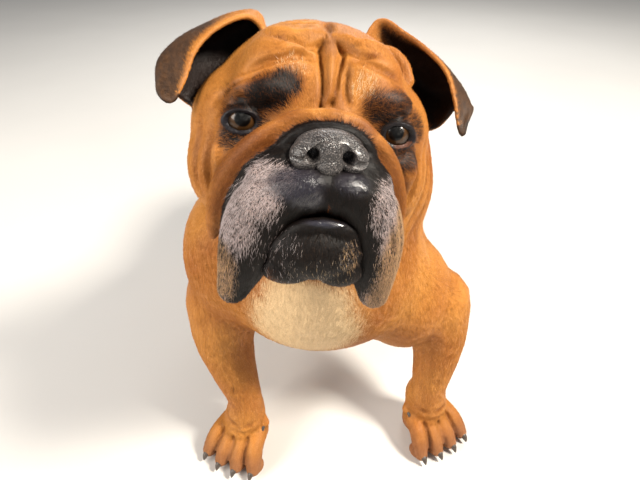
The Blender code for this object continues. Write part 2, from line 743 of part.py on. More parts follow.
def finish_surfaces():
    """Each sub-part's own material, and smooth shading up to the cuts."""
    for obj in bpy.data.objects:
        colour, roughness, metallic = LOOKS.get(obj.name, COAT)
        material = bpy.data.materials.new(obj.name)
        material.use_nodes = True
        surface = material.node_tree.nodes["Principled BSDF"]
        surface.inputs["Base Color"].default_value = (*colour, 1)
        surface.inputs["Roughness"].default_value = roughness
        surface.inputs["Metallic"].default_value = metallic
        obj.data.materials.append(material)
        obj.data.shade_smooth()
        obj.data.set_sharp_from_angle(angle=math.radians(50))


def main():
    for obj in list(bpy.data.objects):
        bpy.data.objects.remove(obj)
    whole = make_whole()
    thinned(whole, WHOLE_TRIANGLES, detail_weights(whole))
    cut_away(whole, block((-400, -400, -50), (400, 700, 0)))
    fit_face(whole)
    part_limbs(whole)
    stand_at_origin()
    finish_surfaces()


main()
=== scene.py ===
"""An english bulldog, life size, dressed around its solids: skin, eyes, nose leather, claws and short coat.

Metres, +Z up. The dog faces -Y and its left side is +X. The skin is laid up like clay on the landmarks of
the skeleton, fused, folded and thinned. Short tufts of solid mesh then follow the lie of the coat over it.
"""

import math

import bmesh
import bpy
import numpy as np
from mathutils import Matrix, Vector
from mathutils.bvhtree import BVHTree


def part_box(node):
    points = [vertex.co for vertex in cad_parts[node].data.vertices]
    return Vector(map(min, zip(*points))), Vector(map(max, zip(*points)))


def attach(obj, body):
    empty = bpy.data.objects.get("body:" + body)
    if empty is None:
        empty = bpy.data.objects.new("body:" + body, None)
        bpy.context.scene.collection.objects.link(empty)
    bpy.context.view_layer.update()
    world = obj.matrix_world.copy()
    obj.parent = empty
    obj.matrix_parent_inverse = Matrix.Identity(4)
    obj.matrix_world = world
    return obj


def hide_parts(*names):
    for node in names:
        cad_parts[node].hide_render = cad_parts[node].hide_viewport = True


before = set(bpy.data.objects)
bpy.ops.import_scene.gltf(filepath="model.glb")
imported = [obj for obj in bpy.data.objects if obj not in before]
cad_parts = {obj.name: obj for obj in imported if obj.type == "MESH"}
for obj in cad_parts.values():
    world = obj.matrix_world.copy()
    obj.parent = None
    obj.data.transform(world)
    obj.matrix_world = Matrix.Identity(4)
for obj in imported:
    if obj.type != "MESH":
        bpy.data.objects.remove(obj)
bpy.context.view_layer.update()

bl_info = {
    "name": "English bulldog",
    "version": (1, 0, 0),
    "blender": (4, 5, 0),
    "location": "View3D > Sidebar > Bulldog",
    "description": "Builds a life-size english bulldog with a short fawn coat",
    "category": "Object",
}

# The animal's own measures
WITHERS_HEIGHT = 0.385
HEAD_WIDTH = 0.186
HEAD_PITCH = 23.0  # degrees above level
HEAD_YAW = 8.5  # degrees towards the dog's left
HEAD_ROLL = 8.6  # degrees, left eye low
MID_EYES = (-0.0225, -0.010, 0.426)  # between the eyes, from the floor midway between the front paws
FACE_FULLNESS = (0.91, 1.05)  # its muzzle hangs a little to the right
EYE_SPACING = 0.104
EYEBALL_RADIUS = 0.0125
BODY_UNIT = WITHERS_HEIGHT / 385
HEAD_UNIT = HEAD_WIDTH / 186


def head_frame():
    """The head's own axes from between the eyes: X to the dog's left, Y back and Z up, for a level head."""
    turn = (
        Matrix.Rotation(math.radians(HEAD_YAW), 4, "Z")
        @ Matrix.Rotation(math.radians(-HEAD_PITCH), 4, "X")
        @ Matrix.Rotation(math.radians(HEAD_ROLL), 4, "Y")
    )
    return Matrix.Translation(MID_EYES) @ turn @ Matrix.Scale(HEAD_UNIT, 4)


EYE_CENTRE = (EYE_SPACING / 2 / HEAD_UNIT, 6, 1)


def design_shift():
    """From the floor between the front paws, where the lists below start, to the frame's origin."""
    low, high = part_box("eye_left")
    return Matrix.Translation((low + high) / 2 - head_frame() @ Vector(EYE_CENTRE))


SHIFT = design_shift()
HEAD = SHIFT @ head_frame()
BODY = SHIFT @ Matrix.Scale(BODY_UNIT, 4)


def paw_frame(across, back, splay, size=1.0):
    """A paw's axes, on the floor under its knuckles. Splay turns the toes out, in degrees."""
    place = Matrix.Translation((across, back, 0))
    return BODY @ place @ Matrix.Rotation(math.radians(splay), 4, "Z") @ Matrix.Scale(size, 4)


# Masses: centre and radii. Rolls: centres along the roll, and the radius at each. PAIR lists are mirrored.
TRUNK_MASSES = (
    ((-22, 72, 246), (108, 94, 94)),  # forechest
    ((-20, 170, 266), (120, 125, 108)),  # ribs
    ((-20, 110, 206), (84, 100, 54)),  # brisket
    ((-20, 160, 326), (72, 78, 56)),  # withers
    ((-17, 215, 308), (72, 66, 54)),  # back
    ((-14, 285, 290), (92, 100, 88)),  # loin
    ((-14, 250, 240), (86, 105, 56)),  # belly
    ((-8, 366, 280), (84, 66, 84)),  # rump
)
NECK_ROLL = (((-20, 122, 306), (-22, 90, 334), (-24, 58, 358), (-25, 36, 372)), (114, 109, 92, 76))
THROAT_ROLL = (((-24, -4, 346), (-24, 6, 312), (-23, 34, 270)), (36, 50, 72))
TAIL_ROLL = (
    ((-8, 416, 306), (-9, 438, 296), (-10, 450, 276), (-9, 455, 254), (-6, 454, 238)),
    (26, 20, 14.5, 10, 6.5),
)
RIGHT_FORELEG_MASSES = (
    ((-106, 80, 250), (58, 70, 82)),  # shoulder
    ((-128, 84, 188), (34, 36, 40)),  # elbow
)
RIGHT_FORELEG_ROLL = (
    ((-126, 68, 198), (-130, 57, 150), (-124, 45, 122), (-116, 33, 100), (-109, 25, 80), (-111, 20, 52)),
    (44, 36, 30, 25, 21.5, 24),
)
LEFT_FORELEG_MASSES = (
    ((66, 80, 198), (56, 68, 66)),
    ((99, 90, 172), (36, 36, 40)),
)
LEFT_FORELEG_ROLL = (
    ((102, 74, 186), (111, 64, 146), (111, 55, 122), (108, 47, 98), (106, 41, 78), (108, 38, 52)),
    (43, 34, 29, 25, 22, 24),
)
RIGHT_HINDLEG_MASSES = (
    ((-72, 352, 246), (46, 72, 84)),  # thigh
    ((-84, 318, 200), (34, 34, 36)),  # stifle
)
RIGHT_HINDLEG_ROLL = (
    ((-84, 330, 205), (-88, 366, 160), (-86, 408, 122), (-86, 418, 96), (-86, 404, 56)),
    (40, 32, 21, 19, 19),
)
RIGHT_HOCK = ((-86, 428, 112), (15, 18, 22))
HIND_AXIS = -8  # the hind legs mirror about this x

FRONT_PAWS = (paw_frame(-116, 14, -24), paw_frame(110, 34, 28))
HIND_PAWS = (paw_frame(-90, 386, -8, 0.86), paw_frame(74, 386, 10, 0.86))
PAWS = (*FRONT_PAWS, *HIND_PAWS)
PAW_MASSES = (
    ((0, 10, 12), (25, 23, 16)),  # sole pad
    ((0, -6, 17), (27, 15, 11)),  # between the toes
    ((0, 4, 34), (31, 20, 18)),  # knuckles
)
PAW_ROLL = (((0, 14, 62), (0, 10, 46), (0, 4, 34)), (23, 25, 25))
TOES = (-1.5, -0.5, 0.5, 1.5)  # places across the paw
TOE_ROLL_RADII = (11, 10.8, 10, 8.6)
CLAW_PATH = ((0, 0, 12.5), (0.3, -6, 11.5), (0.5, -9.4, 8.8), (0.6, -11.6, 5.6))  # from the toe's tip
CLAW_RADII = (4.2, 3.6, 2.4, 0.7)
DEWCLAW = (25, 15, 44)  # the tip of its toe, on the inner side of each front paw
DEWCLAW_PATH = ((0, -6, 0), (1, -11, -3), (1, -14, -8))  # from that tip
DEWCLAW_RADII = (3.0, 2.4, 0.9)

SKULL_MASSES = (
    ((0, 58, 8), (78, 72, 66)),  # skull
    ((0, 46, 50), (52, 44, 24)),  # crown
    ((0, -22, -26), (40, 28, 30)),  # muzzle
    ((0, 30, -60), (58, 52, 36)),  # throat
)
SKULL_PAIRS = (
    ((48, 48, -4), (42, 52, 48)),  # temple
    ((28, 14, 34), (28, 24, 26)),  # forehead
    ((38, 1, 20), (25, 16, 13)),  # brow
    ((60, 44, -30), (31, 42, 42)),  # cheek
    ((50, 8, -24), (24, 17, 22)),  # below the eye
)
NOSE_ROPE = (
    ((0, -36, 8), (19, -34, 4), (30, -31.5, -4), (40, -27, -13), (50, -19, -26), (58, -11, -43),
     (62, -4, -61), (64, 5, -78)),
    (4.8, 5.6, 6.6, 7.8, 8.8, 9, 7.4, 4),
)
NOSE_BED = (((0, -43, 0), (14, -42, -2.5), (25, -39, -11), (29, -35, -21)), (4.6, 4.6, 4.6, 4))
FLEWS = (
    (((4, -46, -33), (16, -45, -37), (30, -38, -46), (38, -32, -62), (42, -28, -80), (46, -23, -96),
      (49, -18, -108)),
     (13, 16, 20, 21, 18.5, 14, 11)),
    (((34, -22, -32), (42, -12, -54), (43, -3, -76), (44, 6, -88)), (16, 17, 16, 12)),
    (((24, -38, -24), (30, -35, -34)), (13, 17)),
    (((0, -46, -38), (9, -46, -40)), (10.5, 12)),
)
JAW_MASSES = (
    ((-2, -38.5, -72), (32, 19, 20.5)),  # chin
    ((15, -33, -85), (17, 16, 13)),
    ((-18, -32, -85), (19, 16, 13)),
    ((0, -12, -76), (32, 36, 20)),  # jaw
)
LOWER_LIP = (((0, -51, -55), (11, -50.5, -57), (20, -46, -62), (26, -40, -69)), (4.8, 4.8, 5, 5))
NOSE_MASSES = (
    ((0, -45, -12), (21, 13.5, 12.5)),  # bulb
    ((0, -50.5, -20.5), (8, 7.2, 7.5)),  # columella
)
NOSE_WING = ((13.5, -48, -16), (10, 9, 9.5))
NOSTRIL = (((5.6, -60.5, -6.5), (7.4, -59, -11), (10.4, -57, -16), (10, -50, -14)), (2.2, 3.9, 4.6, 3.4))
NOSTRIL_SLIT = (((10.4, -58, -17), (17, -56.5, -19.5), (24.5, -50.5, -17.5)), (3.8, 3, 2))
NOSE_GROOVE = (((0, -60.5, -14), (0, -60, -20), (0, -57.5, -28)), (0.7, 0.9, 1.1))
LID_RADIUS = 15.2
LID_SINK = 2.2  # the skin between the lids lies this far inside the eyeball
UPPER_RIM = 2.9
LOWER_RIM = 2.0
# The left and right lids seen from the front: centre and radii of the opening
LID_OPENINGS = {1: ((0.6, -1.9), (10.2, 7.3)), -1: ((0, -2.0), (10.4, 6.5))}

# Ears: rows from the root to the tip, each from the front edge to the back one
RIGHT_EAR = (
    ((-33, 56, 58), (-46, 72, 52), (-66, 70, 32), (-80, 44, 4)),
    ((-48, 50, 71), (-46, 71, 76), (-81, 74, 47), (-92, 42, 10)),
    ((-60, 44, 69), (-62, 64, 75), (-95, 65, 51), (-98, 38, 14)),
    ((-76, 37, 57), (-79, 54, 65), (-104, 51, 44), (-104, 33, 18)),
    ((-86, 30, 42), (-93, 39, 52), (-109, 37, 37), (-109, 27, 23)),
    ((-90, 24, 26), (-98, 27, 34), (-108, 25, 26), (-108, 20, 14)),
    ((-94, 18, 14), (-97, 17, 9), (-100, 16, 7), (-104, 15, 9)),
)
LEFT_EAR = (
    ((34, 70, 60), (50, 74, 52), (66, 70, 32), (80, 44, 4)),
    ((48, 69, 85), (67, 82, 65), (90, 79, 38), (96, 44, 9)),
    ((67, 62, 77), (83, 76, 63), (105, 69, 36), (101, 38, 16)),
    ((80, 49, 66), (93, 61, 61), (110, 57, 40), (106, 36, 24)),
    ((94, 38, 51), (104, 46, 48), (114, 45, 38), (117, 33, 26)),
    ((100, 29, 33), (106, 33, 33), (113, 33, 27), (116, 28, 21)),
    ((104, 22, 12), (107, 21, 5), (110, 21, 5), (111, 22, 13)),
)
# A fold before the left ear's cup
LEFT_EAR_ROOT = (((42, 60, 58), (54, 54, 59), (64, 49, 52), (70, 44, 40)), (6.5, 7, 6.5, 5))
EAR_THICKNESS = 0.0036
EAR_GRID = (26, 40)  # points across and along the sheet

# The size of the cells that fuse each part, and the rounds of softening after it
FINENESS = {
    "trunk": (0.006, 26),
    "body": (0.004, 9),
    "skull": (0.004, 7),
    "jaw": (0.0014, 4),
    "paw": (0.0013, 3),
    "ear": (0.0011, 4),
    "nose": (0.0007, 6),
    "nostrils": (0.0007, 3),
    "claws": (0.0006, 3),
}
SKIN_SOFTENING = 2

# Skin folds: points along the fold, its half width, and its height, which is negative for a crease
HEAD_FOLDS = (
    (((2, -13, 12), (2, -9, 28), (2.5, -3, 42), (2, 5, 54)), 3.8, 3.4),  # the lump between the brows
    (((-3, -36, 10), (-3, -14, 13), (-2, -11, 23), (-3, -6, 37), (-4, 2, 51), (1, 8, 61)), 1.8, -5.5),
    (((3, -30, 12), (4, -13, 15), (6.5, -9, 28), (8.5, -4, 41), (9.5, 2, 51), (1.5, 8, 61)), 1.8, -5.2),
    (((14, -6, 41), (13, -9, 29), (15, -12, 18), (20, -20, 9)), 2.0, -4.2),
    (((1.6, 8, 61), (1.4, 18, 68), (1, 34, 74)), 3.4, -5.0),  # notch of the crown
    (((-1, 4, 55), (-10, 0, 50), (-23, 0, 53), (-36, 4, 53)), 2.6, -5.0),
    (((-4, -3, 42), (-18, -6, 43.5), (-30, -8, 39.5), (-47, -5, 33.5), (-60, 2, 26)), 2.4, -3.6),
    (((5, 5, 57), (13, 1, 51), (23, -4, 48), (38, 0, 46)), 2.6, -4.4),
    (((12, -4, 41), (20, -6, 44), (34, -8, 40), (50, 0, 34)), 2.4, -3.0),
    (((-6, 10, 62), (-16, 6, 59), (-30, 8, 59), (-44, 16, 56)), 4.2, 3.4),
    (((8, 10, 62), (18, 5, 58), (32, 6, 55), (46, 14, 50)), 4.2, 3.0),
    (((-6, -1, 48), (-18, -3, 48), (-32, -4, 46)), 3.2, 2.0),
    (((4, 20, 71), (-12, 20, 70), (-28, 24, 67)), 3.0, -2.6),
    (((1.5, -56, -23), (1.5, -61, -33), (1.5, -60, -46)), 1.3, -5.0),  # the groove from nose to lip
    (((-27, -42, -17), (-21, -46, -5), (-8, -49, 3.5), (4, -49.5, 4), (16, -47, 0), (26, -42, -10)),
     1.1, -1.7),
    (((-30, -38, -14), (-22, -42, 0), (-8, -45, 6.5), (4, -45, 7), (17, -43, 3), (28, -38, -8)), 1.0, -1.3),
    (((-39, -10, 31), (-56, -6, 24.5), (-67, 5, 16), (-71, 7, 5)), 2.4, -3.4),
    (((40, -6, 32), (56, -1, 26), (68, 8, 16)), 2.4, -2.6),
)
HEAD_FOLD_PAIRS = (
    (((4, -24, 12), (14, -25, 9), (23, -24, 4), (31, -20, -1), (38, -14, -6)), 2.6, -5.4),  # behind the rope
    (((40, -17, -9), (50, -10, -20), (60, -3, -32), (68, 6, -50)), 2.6, -4.0),
    (((70, 4, -6), (73, 6, -28), (71, 8, -52), (66, 10, -74)), 3.2, -4.4),
    (((80, 16, 2), (83, 18, -28), (80, 22, -60)), 3.4, -3.6),
    (((66, 0, 4), (68, -2, -14), (66, -4, -34)), 3.4, 2.6),
    (((43, -46, -32), (48, -46, -50), (53, -40, -70), (54, -34, -92)), 1.6, -1.8),
    (((36, -50, -36), (41, -52, -54), (46, -46, -74)), 1.5, -1.6),
    (((28, -53, -36), (33, -55, -50), (36, -54, -66)), 1.5, -1.3),
    (((20, -56, -34), (25, -58, -46), (27, -57, -58)), 1.4, -1.0),
    (((40, -5, -12), (50, -9, -15.5), (60, -3, -10)), 1.8, -2.4),  # the bag under the eye
    (((38, -2, 12), (51, -8, 13.5), (64, 0, 7)), 1.5, -2.2),  # above the upper lid
)
PAW_FOLDS = (
    (((-14, 2, 48), (-16, -14, 38), (-18, -27, 27), (-19, -34, 12)), 2.0, -3.6),
    (((0, 0, 50), (0, -16, 41), (0, -31, 29), (0, -38, 12)), 2.0, -3.8),
    (((14, 2, 48), (16, -14, 38), (18, -27, 27), (19, -34, 12)), 2.0, -3.6),
)
BODY_FOLDS = (
    (((-124, 24, 108), (-112, 12, 106), (-100, 22, 104)), 3.0, -1.2),
    (((-132, 22, 62), (-114, -6, 58), (-94, 14, 60)), 3.0, -2.0),  # above the toes
    (((88, 36, 60), (108, 12, 58), (128, 36, 62)), 3.0, -2.0),
    (((96, 36, 104), (108, 26, 106), (120, 36, 108)), 3.0, -1.2),
)
# Creases round the neck: the place along its roll, and the height
NECK_CREASES = ((0.9, -2.2), (1.25, -3.2), (1.7, -2.8), (2.2, -3.0))
NECK_CREASE_WIDTH = 5.5
# The height of a fold that is shaded in full
FULL_SHADE = {"head": 3.2, "body": 3.0, "neck": 6.0, "paw": 3.2}


def smooth_path(points, radii, spacing=0.3):
    """Points and radii along a smooth curve through the given ones, closer where the roll is thin."""
    knots = np.column_stack([np.array(points, float), np.array(radii, float)])
    knots = np.vstack([2 * knots[0] - knots[1], knots, 2 * knots[-1] - knots[-2]])
    path = [knots[1]]
    for a, b, c, d in zip(knots, knots[1:], knots[2:], knots[3:]):
        steps = max(2, math.ceil(np.linalg.norm((c - b)[:3]) / (spacing * min(b[3], c[3]))))
        for t in np.arange(1, steps + 1) / steps:
            square, cube = 2 * a - 5 * b + 4 * c - d, 3 * b - a - 3 * c + d
            path.append(0.5 * (2 * b + (c - a) * t + square * t**2 + cube * t**3))
    return np.array(path)


def mirrored(points, axis=0.0):
    """The same points on the other side of the plane x = axis."""
    return tuple((2 * axis - x, y, z) for x, y, z in points)


def placed(points, matrix):
    """An array of points, moved by a matrix."""
    turn = np.array(matrix)
    return np.asarray(points, float) @ turn[:3, :3].T + turn[:3, 3]


def in_head(points):
    return placed(points, HEAD.inverted())


def in_body(points):
    return placed(points, BODY.inverted())


def behind_face(head):
    """How far points in the head's frame are behind and below the face, along the slope of the neck."""
    return 0.75 * head[:, 1] - 0.66 * head[:, 2]


def both_sides(points, fullness=(1, 1)):
    """A line on the dog's left and its mirror image on the right. Fullness stretches each one sideways."""
    for side_points, wide in zip((points, mirrored(points)), fullness):
        yield [(x * wide, y, z) for x, y, z in side_points]


def unit(vectors):
    """The same directions, each made one long."""
    return vectors / np.maximum(np.linalg.norm(vectors, axis=-1, keepdims=True), 1e-9)


def ramp(values, start, end):
    """0 before start, 1 after end, and smooth between them."""
    t = np.clip((values - start) / (end - start), 0, 1)
    return t * t * (3 - 2 * t)


def select_only(obj):
    bpy.ops.object.select_all(action="DESELECT")
    obj.select_set(True)
    bpy.context.view_layer.objects.active = obj


def apply_modifiers(obj):
    select_only(obj)
    for name in [modifier.name for modifier in obj.modifiers]:
        bpy.ops.object.modifier_apply(modifier=name)
    return obj


def linked_object(name, data):
    obj = bpy.data.objects.new(name, data)
    bpy.context.scene.collection.objects.link(obj)
    return obj


def mesh_object(name, points, faces):
    mesh = bpy.data.meshes.new(name)
    mesh.from_pydata(np.asarray(points).tolist(), [], np.asarray(faces).tolist())
    return linked_object(name, mesh)


def triangle_mesh(name, points, faces):
    """The same for very many triangles, filled in quickly."""
    mesh = bpy.data.meshes.new(name)
    mesh.vertices.add(len(points))
    mesh.vertices.foreach_set("co", points.astype(np.float32).ravel())
    mesh.loops.add(faces.size)
    mesh.loops.foreach_set("vertex_index", faces.astype(np.int32).ravel())
    mesh.polygons.add(len(faces))
    mesh.polygons.foreach_set("loop_start", np.arange(0, faces.size, 3, dtype=np.int32))
    mesh.update(calc_edges=True)
    mesh.validate()
    return linked_object(name, mesh)


def vertex_array(obj, what="co"):
    values = np.empty(len(obj.data.vertices) * 3)
    obj.data.vertices.foreach_get(what, values)
    return values.reshape(-1, 3)


def move_vertices(obj, points):
    obj.data.vertices.foreach_set("co", points.ravel())
    obj.data.update()


def triangle_array(obj):
    obj.data.calc_loop_triangles()
    values = np.empty(len(obj.data.loop_triangles) * 3, np.int32)
    obj.data.loop_triangles.foreach_get("vertices", values)
    return values.reshape(-1, 3)


def unit_ball(fineness):
    """Points and triangles of a ball of radius 1."""
    mesh = bmesh.new()
    bmesh.ops.create_icosphere(mesh, subdivisions=fineness, radius=1)
    points = np.array([vert.co for vert in mesh.verts])
    faces = np.array([[vert.index for vert in face.verts] for face in mesh.faces])
    mesh.free()
    return points, faces


BALLS = {fineness: unit_ball(fineness) for fineness in (2, 3, 4)}


class Clay:
    """Balls and rolls of clay in one frame, fused later into one closed skin."""

    def __init__(self, where=BODY):
        self.points = []
        self.faces = []
        self.count = 0
        self.where = where

    def take(self, points, faces):
        self.points.append(points)
        self.faces.append(faces + self.count)
        self.count += len(points)

    def ball(self, centre, radii, fineness=3):
        shape = Matrix.LocRotScale(Vector(centre), None, Vector(radii))
        points, faces = BALLS[fineness]
        self.take(placed(points, self.where @ shape), faces)

    def roll(self, points, radii):
        for x, y, z, radius in smooth_path(points, radii):
            self.ball((x, y, z), (radius, radius, radius), fineness=2)

    def balls(self, masses, fineness=3):
        for centre, radii in masses:
            self.ball(centre, radii, fineness)

    def pair(self, centre, radii, axis=0.0):
        self.ball(centre, radii)
        self.ball(mirrored([centre], axis)[0], radii)

    def roll_pair(self, points, radii, fullness=(1, 1)):
        for side_points in both_sides(points, fullness):
            self.roll(side_points, radii)

    def add(self, obj):
        """Takes a finished object's skin into this clay, and removes the object."""
        self.take(vertex_array(obj), triangle_array(obj))
        bpy.data.objects.remove(obj)

    def fused(self, name, voxel, softening):
        obj = mesh_object(name, np.vstack(self.points), np.vstack(self.faces))
        fuse = obj.modifiers.new("Fuse", "REMESH")
        fuse.mode = "VOXEL"
        fuse.voxel_size = voxel
        soften = obj.modifiers.new("Soften", "SMOOTH")
        soften.factor = 0.5
        soften.iterations = softening
        return apply_modifiers(obj)


def distances_to_path(points, path):
    """How far each point is from a polyline, and how far along it the nearest place is, from 0 to 1."""
    nearest = np.full(len(points), np.inf)
    along = np.zeros(len(points))
    for i, (a, b) in enumerate(zip(path, path[1:])):
        step = b - a
        t = np.clip((points - a) @ step / (step @ step), 0, 1)
        distance = np.linalg.norm(points - a - t[:, None] * step, axis=1)
        closer = distance < nearest
        nearest[closer] = distance[closer]
        along[closer] = (i + t[closer]) / (len(path) - 1)
    return nearest, along


def near_path(points, line, reach):
    """Distances from a smooth line for the points within its reach, and infinite ones for the rest."""
    path = smooth_path(line, [6] * len(line), 0.5)[:, :3]
    low, high = path.min(axis=0) - reach, path.max(axis=0) + reach
    close = np.flatnonzero(np.all((points > low) & (points < high), axis=1))
    distance = np.full(len(points), np.inf)
    along = np.zeros(len(points))
    if len(close):
        distance[close], along[close] = distances_to_path(points[close], path)
    return distance, along


def fold_heights(points, folds):
    """How far the folds raise the skin at each point, in the units of their frame."""
    heights = np.zeros(len(points))
    for line, half_width, height in folds:
        distance, along = near_path(points, line, 3 * half_width)
        fade = np.clip(np.minimum(along, 1 - along) / 0.18, 0.15, 1)
        bulge = height * fade * np.exp(-((distance / half_width) ** 2))
        heights += np.where(np.isfinite(distance), bulge, 0)
    return heights


def neck_folds():
    """Creases round both sides of the neck, square to its roll."""
    centres, radii = np.array(NECK_ROLL[0], float), np.array(NECK_ROLL[1], float)
    axis = (centres[-1] - centres[0]) / np.linalg.norm(centres[-1] - centres[0])
    upwards = np.cross(axis, (1, 0, 0))
    upwards *= np.sign(upwards[2])
    for place, height in NECK_CREASES:
        centre = np.array([np.interp(place, range(len(radii)), column) for column in centres.T])
        radius = np.interp(place, range(len(radii)), radii)
        for side in (1, -1):
            line = []
            for angle in (-50, -25, 0, 25, 45):
                turn = math.radians(angle)
                out = np.array([side * math.cos(turn), 0, 0]) + upwards * math.sin(turn)
                line.append(tuple(centre + out * radius + axis * 9 * math.sin(2.2 * turn + place)))
            yield tuple(line), NECK_CREASE_WIDTH, height


def with_mirror_images(folds):
    for line, half_width, height in folds:
        yield line, half_width, height
        yield mirrored(line), half_width, height


ALL_HEAD_FOLDS = (*HEAD_FOLDS, *with_mirror_images(HEAD_FOLD_PAIRS))


def fold_skin(obj):
    """Raises or presses the skin along each fold, which fades out at both ends."""
    points = vertex_array(obj)
    normals = vertex_array(obj, "normal")
    shift = HEAD_UNIT * fold_heights(in_head(points), ALL_HEAD_FOLDS)
    shift += BODY_UNIT * fold_heights(in_body(points), [*BODY_FOLDS, *neck_folds()])
    for where in PAWS:
        shift += BODY_UNIT * fold_heights(placed(points, where.inverted()), PAW_FOLDS)
    move_vertices(obj, points + normals * shift[:, None])


def eye_centre(side):
    return np.array([side * EYE_CENTRE[0], EYE_CENTRE[1], EYE_CENTRE[2]])


def open_lids(obj):
    """Presses the skin back inside the eyeball where the lids part, which leaves their rims standing."""
    head = in_head(vertex_array(obj))
    for side, ((across, up), (wide, high)) in LID_OPENINGS.items():
        centre = eye_centre(side)
        offset = head - centre
        reach = np.linalg.norm(offset, axis=1)
        almond = ((offset[:, 0] - side * across) / wide) ** 2 + ((offset[:, 2] - up) / high) ** 2
        inside = (reach < LID_RADIUS + 5) & (offset[:, 1] < -4)
        press = np.where(inside, 1 - ramp(np.sqrt(almond), 0.90, 1.04), 0)
        depth = EYEBALL_RADIUS / HEAD_UNIT - LID_SINK
        target = centre + offset / np.maximum(reach, 1e-6)[:, None] * depth
        head = head + (target - head) * press[:, None]
    move_vertices(obj, placed(head, HEAD))


def lid_rim(side, height):
    """Points along the edge of the lids, on the eyeball. Height 1 is the upper lid and -1 the lower one."""
    (across, up), (wide, high) = LID_OPENINGS[side]
    rim = []
    for angle in np.linspace(0, math.pi, 9):
        x = side * across + math.cos(angle) * (wide + 0.6)
        z = up + height * math.sin(angle) * (high + 0.6)
        y = -math.sqrt(max(1.0, (EYEBALL_RADIUS / HEAD_UNIT + 1.2) ** 2 - x * x - z * z))
        rim.append(tuple(eye_centre(side) + (x, y, z)))
    return rim


def between(rows, across, along):
    """A grid of points on a smooth sheet through the rows."""
    widened = []
    for row in rows:
        path = smooth_path(row, [10] * len(row), 0.1)[:, :3]
        widened.append([path[round(place)] for place in np.linspace(0, len(path) - 1, across)])
    columns = []
    for column in zip(*widened):
        path = smooth_path(column, [10] * len(column), 0.1)[:, :3]
        columns.append([path[round(place)] for place in np.linspace(0, len(path) - 1, along)])
    return np.array(columns)


def sheet_normals(sheet):
    return unit(np.cross(np.gradient(sheet, axis=0), np.gradient(sheet, axis=1)))


def make_ear(rows):
    """A thin sheet of cartilage and skin, thicker at its root and at its rolled edge."""
    sheet = between(rows, *EAR_GRID)
    half = EAR_THICKNESS / HEAD_UNIT / 2
    normal = sheet_normals(sheet)
    thick = half * np.linspace(1.5, 1, sheet.shape[1])[None, :, None]
    wide, long = sheet.shape[:2]
    points = np.vstack([(sheet + normal * thick).reshape(-1, 3), (sheet - normal * thick).reshape(-1, 3)])
    back = wide * long
    faces = []
    for i in range(wide - 1):
        for j in range(long - 1):
            a, b, c, d = i * long + j, i * long + j + 1, (i + 1) * long + j + 1, (i + 1) * long + j
            faces += [(a, b, c), (a, c, d), (back + a, back + c, back + b), (back + a, back + d, back + c)]
    rim = [(i, 0) for i in range(wide)] + [(wide - 1, j) for j in range(1, long)]
    rim += [(i, long - 1) for i in range(wide - 2, -1, -1)] + [(0, j) for j in range(long - 2, 0, -1)]
    for (i, j), (k, m) in zip(rim, rim[1:] + rim[:1]):
        a, b = i * long + j, k * long + m
        faces += [(a, b, b + back), (a, b + back, a + back)]
    clay = Clay(HEAD)
    clay.take(placed(points, HEAD), np.array(faces))
    for i, j in rim:
        radius = 1.15 * thick[0, j, 0]
        clay.ball(sheet[i, j], (radius, radius, radius), fineness=2)
    return clay.fused("ear", *FINENESS["ear"])


def make_trunk():
    clay = Clay()
    clay.balls(TRUNK_MASSES, fineness=4)
    clay.roll(*NECK_ROLL)
    clay.roll(*THROAT_ROLL)
    clay.balls((*RIGHT_FORELEG_MASSES, *LEFT_FORELEG_MASSES, *RIGHT_HINDLEG_MASSES))
    for centre, radii in RIGHT_HINDLEG_MASSES:
        clay.ball(mirrored([centre], HIND_AXIS)[0], radii)
    return clay.fused("trunk", *FINENESS["trunk"])


def make_body():
    """The trunk with its legs and tail."""
    clay = Clay()
    clay.add(make_trunk())
    clay.roll(*RIGHT_FORELEG_ROLL)
    clay.roll(*LEFT_FORELEG_ROLL)
    points, radii = RIGHT_HINDLEG_ROLL
    clay.roll(points, radii)
    clay.roll(mirrored(points, HIND_AXIS), radii)
    clay.pair(*RIGHT_HOCK, HIND_AXIS)
    clay.roll(*TAIL_ROLL)
    return clay.fused("body", *FINENESS["body"])


def toe_points(place):
    """The centre line of a toe, from the knuckle to the tip. Place runs from -1.5 to 1.5 across the paw."""
    reach = 36 - 4.5 * abs(place)
    across = (13.5, 16, 18.5, 20)
    return [(place * x, y, z) for x, y, z in zip(across, (8, -11, 8 - reach, -reach), (34, 31, 22, 11))]


def make_paw(where, side=0):
    """Side is the side of the dewclaw, or 0 for none."""
    clay = Clay(where)
    clay.balls(PAW_MASSES)
    clay.roll(*PAW_ROLL)
    for place in TOES:
        points = toe_points(place)
        clay.roll(points, TOE_ROLL_RADII)
        x, y, _ = points[-1]
        clay.ball((x, y + 8, 6), (8.2, 11, 8))
    if side:
        x, y, z = DEWCLAW
        clay.roll(((side * (x - 8), y, z + 6), (side * x, y - 3, z)), (7, 6.5))
    return clay.fused("paw", *FINENESS["paw"])


def make_skull():
    clay = Clay(HEAD)
    clay.balls(SKULL_MASSES, fineness=4)
    for centre, radii in SKULL_PAIRS:
        clay.pair(centre, radii)
    return clay.fused("skull", *FINENESS["skull"])


def add_face(clay):
    """The folds of the muzzle and the lids, laid over the fused skull."""
    clay.where = HEAD
    clay.roll_pair(*NOSE_ROPE, FACE_FULLNESS)
    clay.roll_pair(*NOSE_BED)
    for points, radii in FLEWS:
        clay.roll_pair(points, radii, FACE_FULLNESS)
    clay.pair(EYE_CENTRE, (LID_RADIUS, LID_RADIUS, LID_RADIUS))
    clay.roll(*LEFT_EAR_ROOT)
    for side in (1, -1):
        for height, radius in ((1, UPPER_RIM), (-1, LOWER_RIM)):
            rim = lid_rim(side, height)
            clay.roll(rim, [radius] * len(rim))


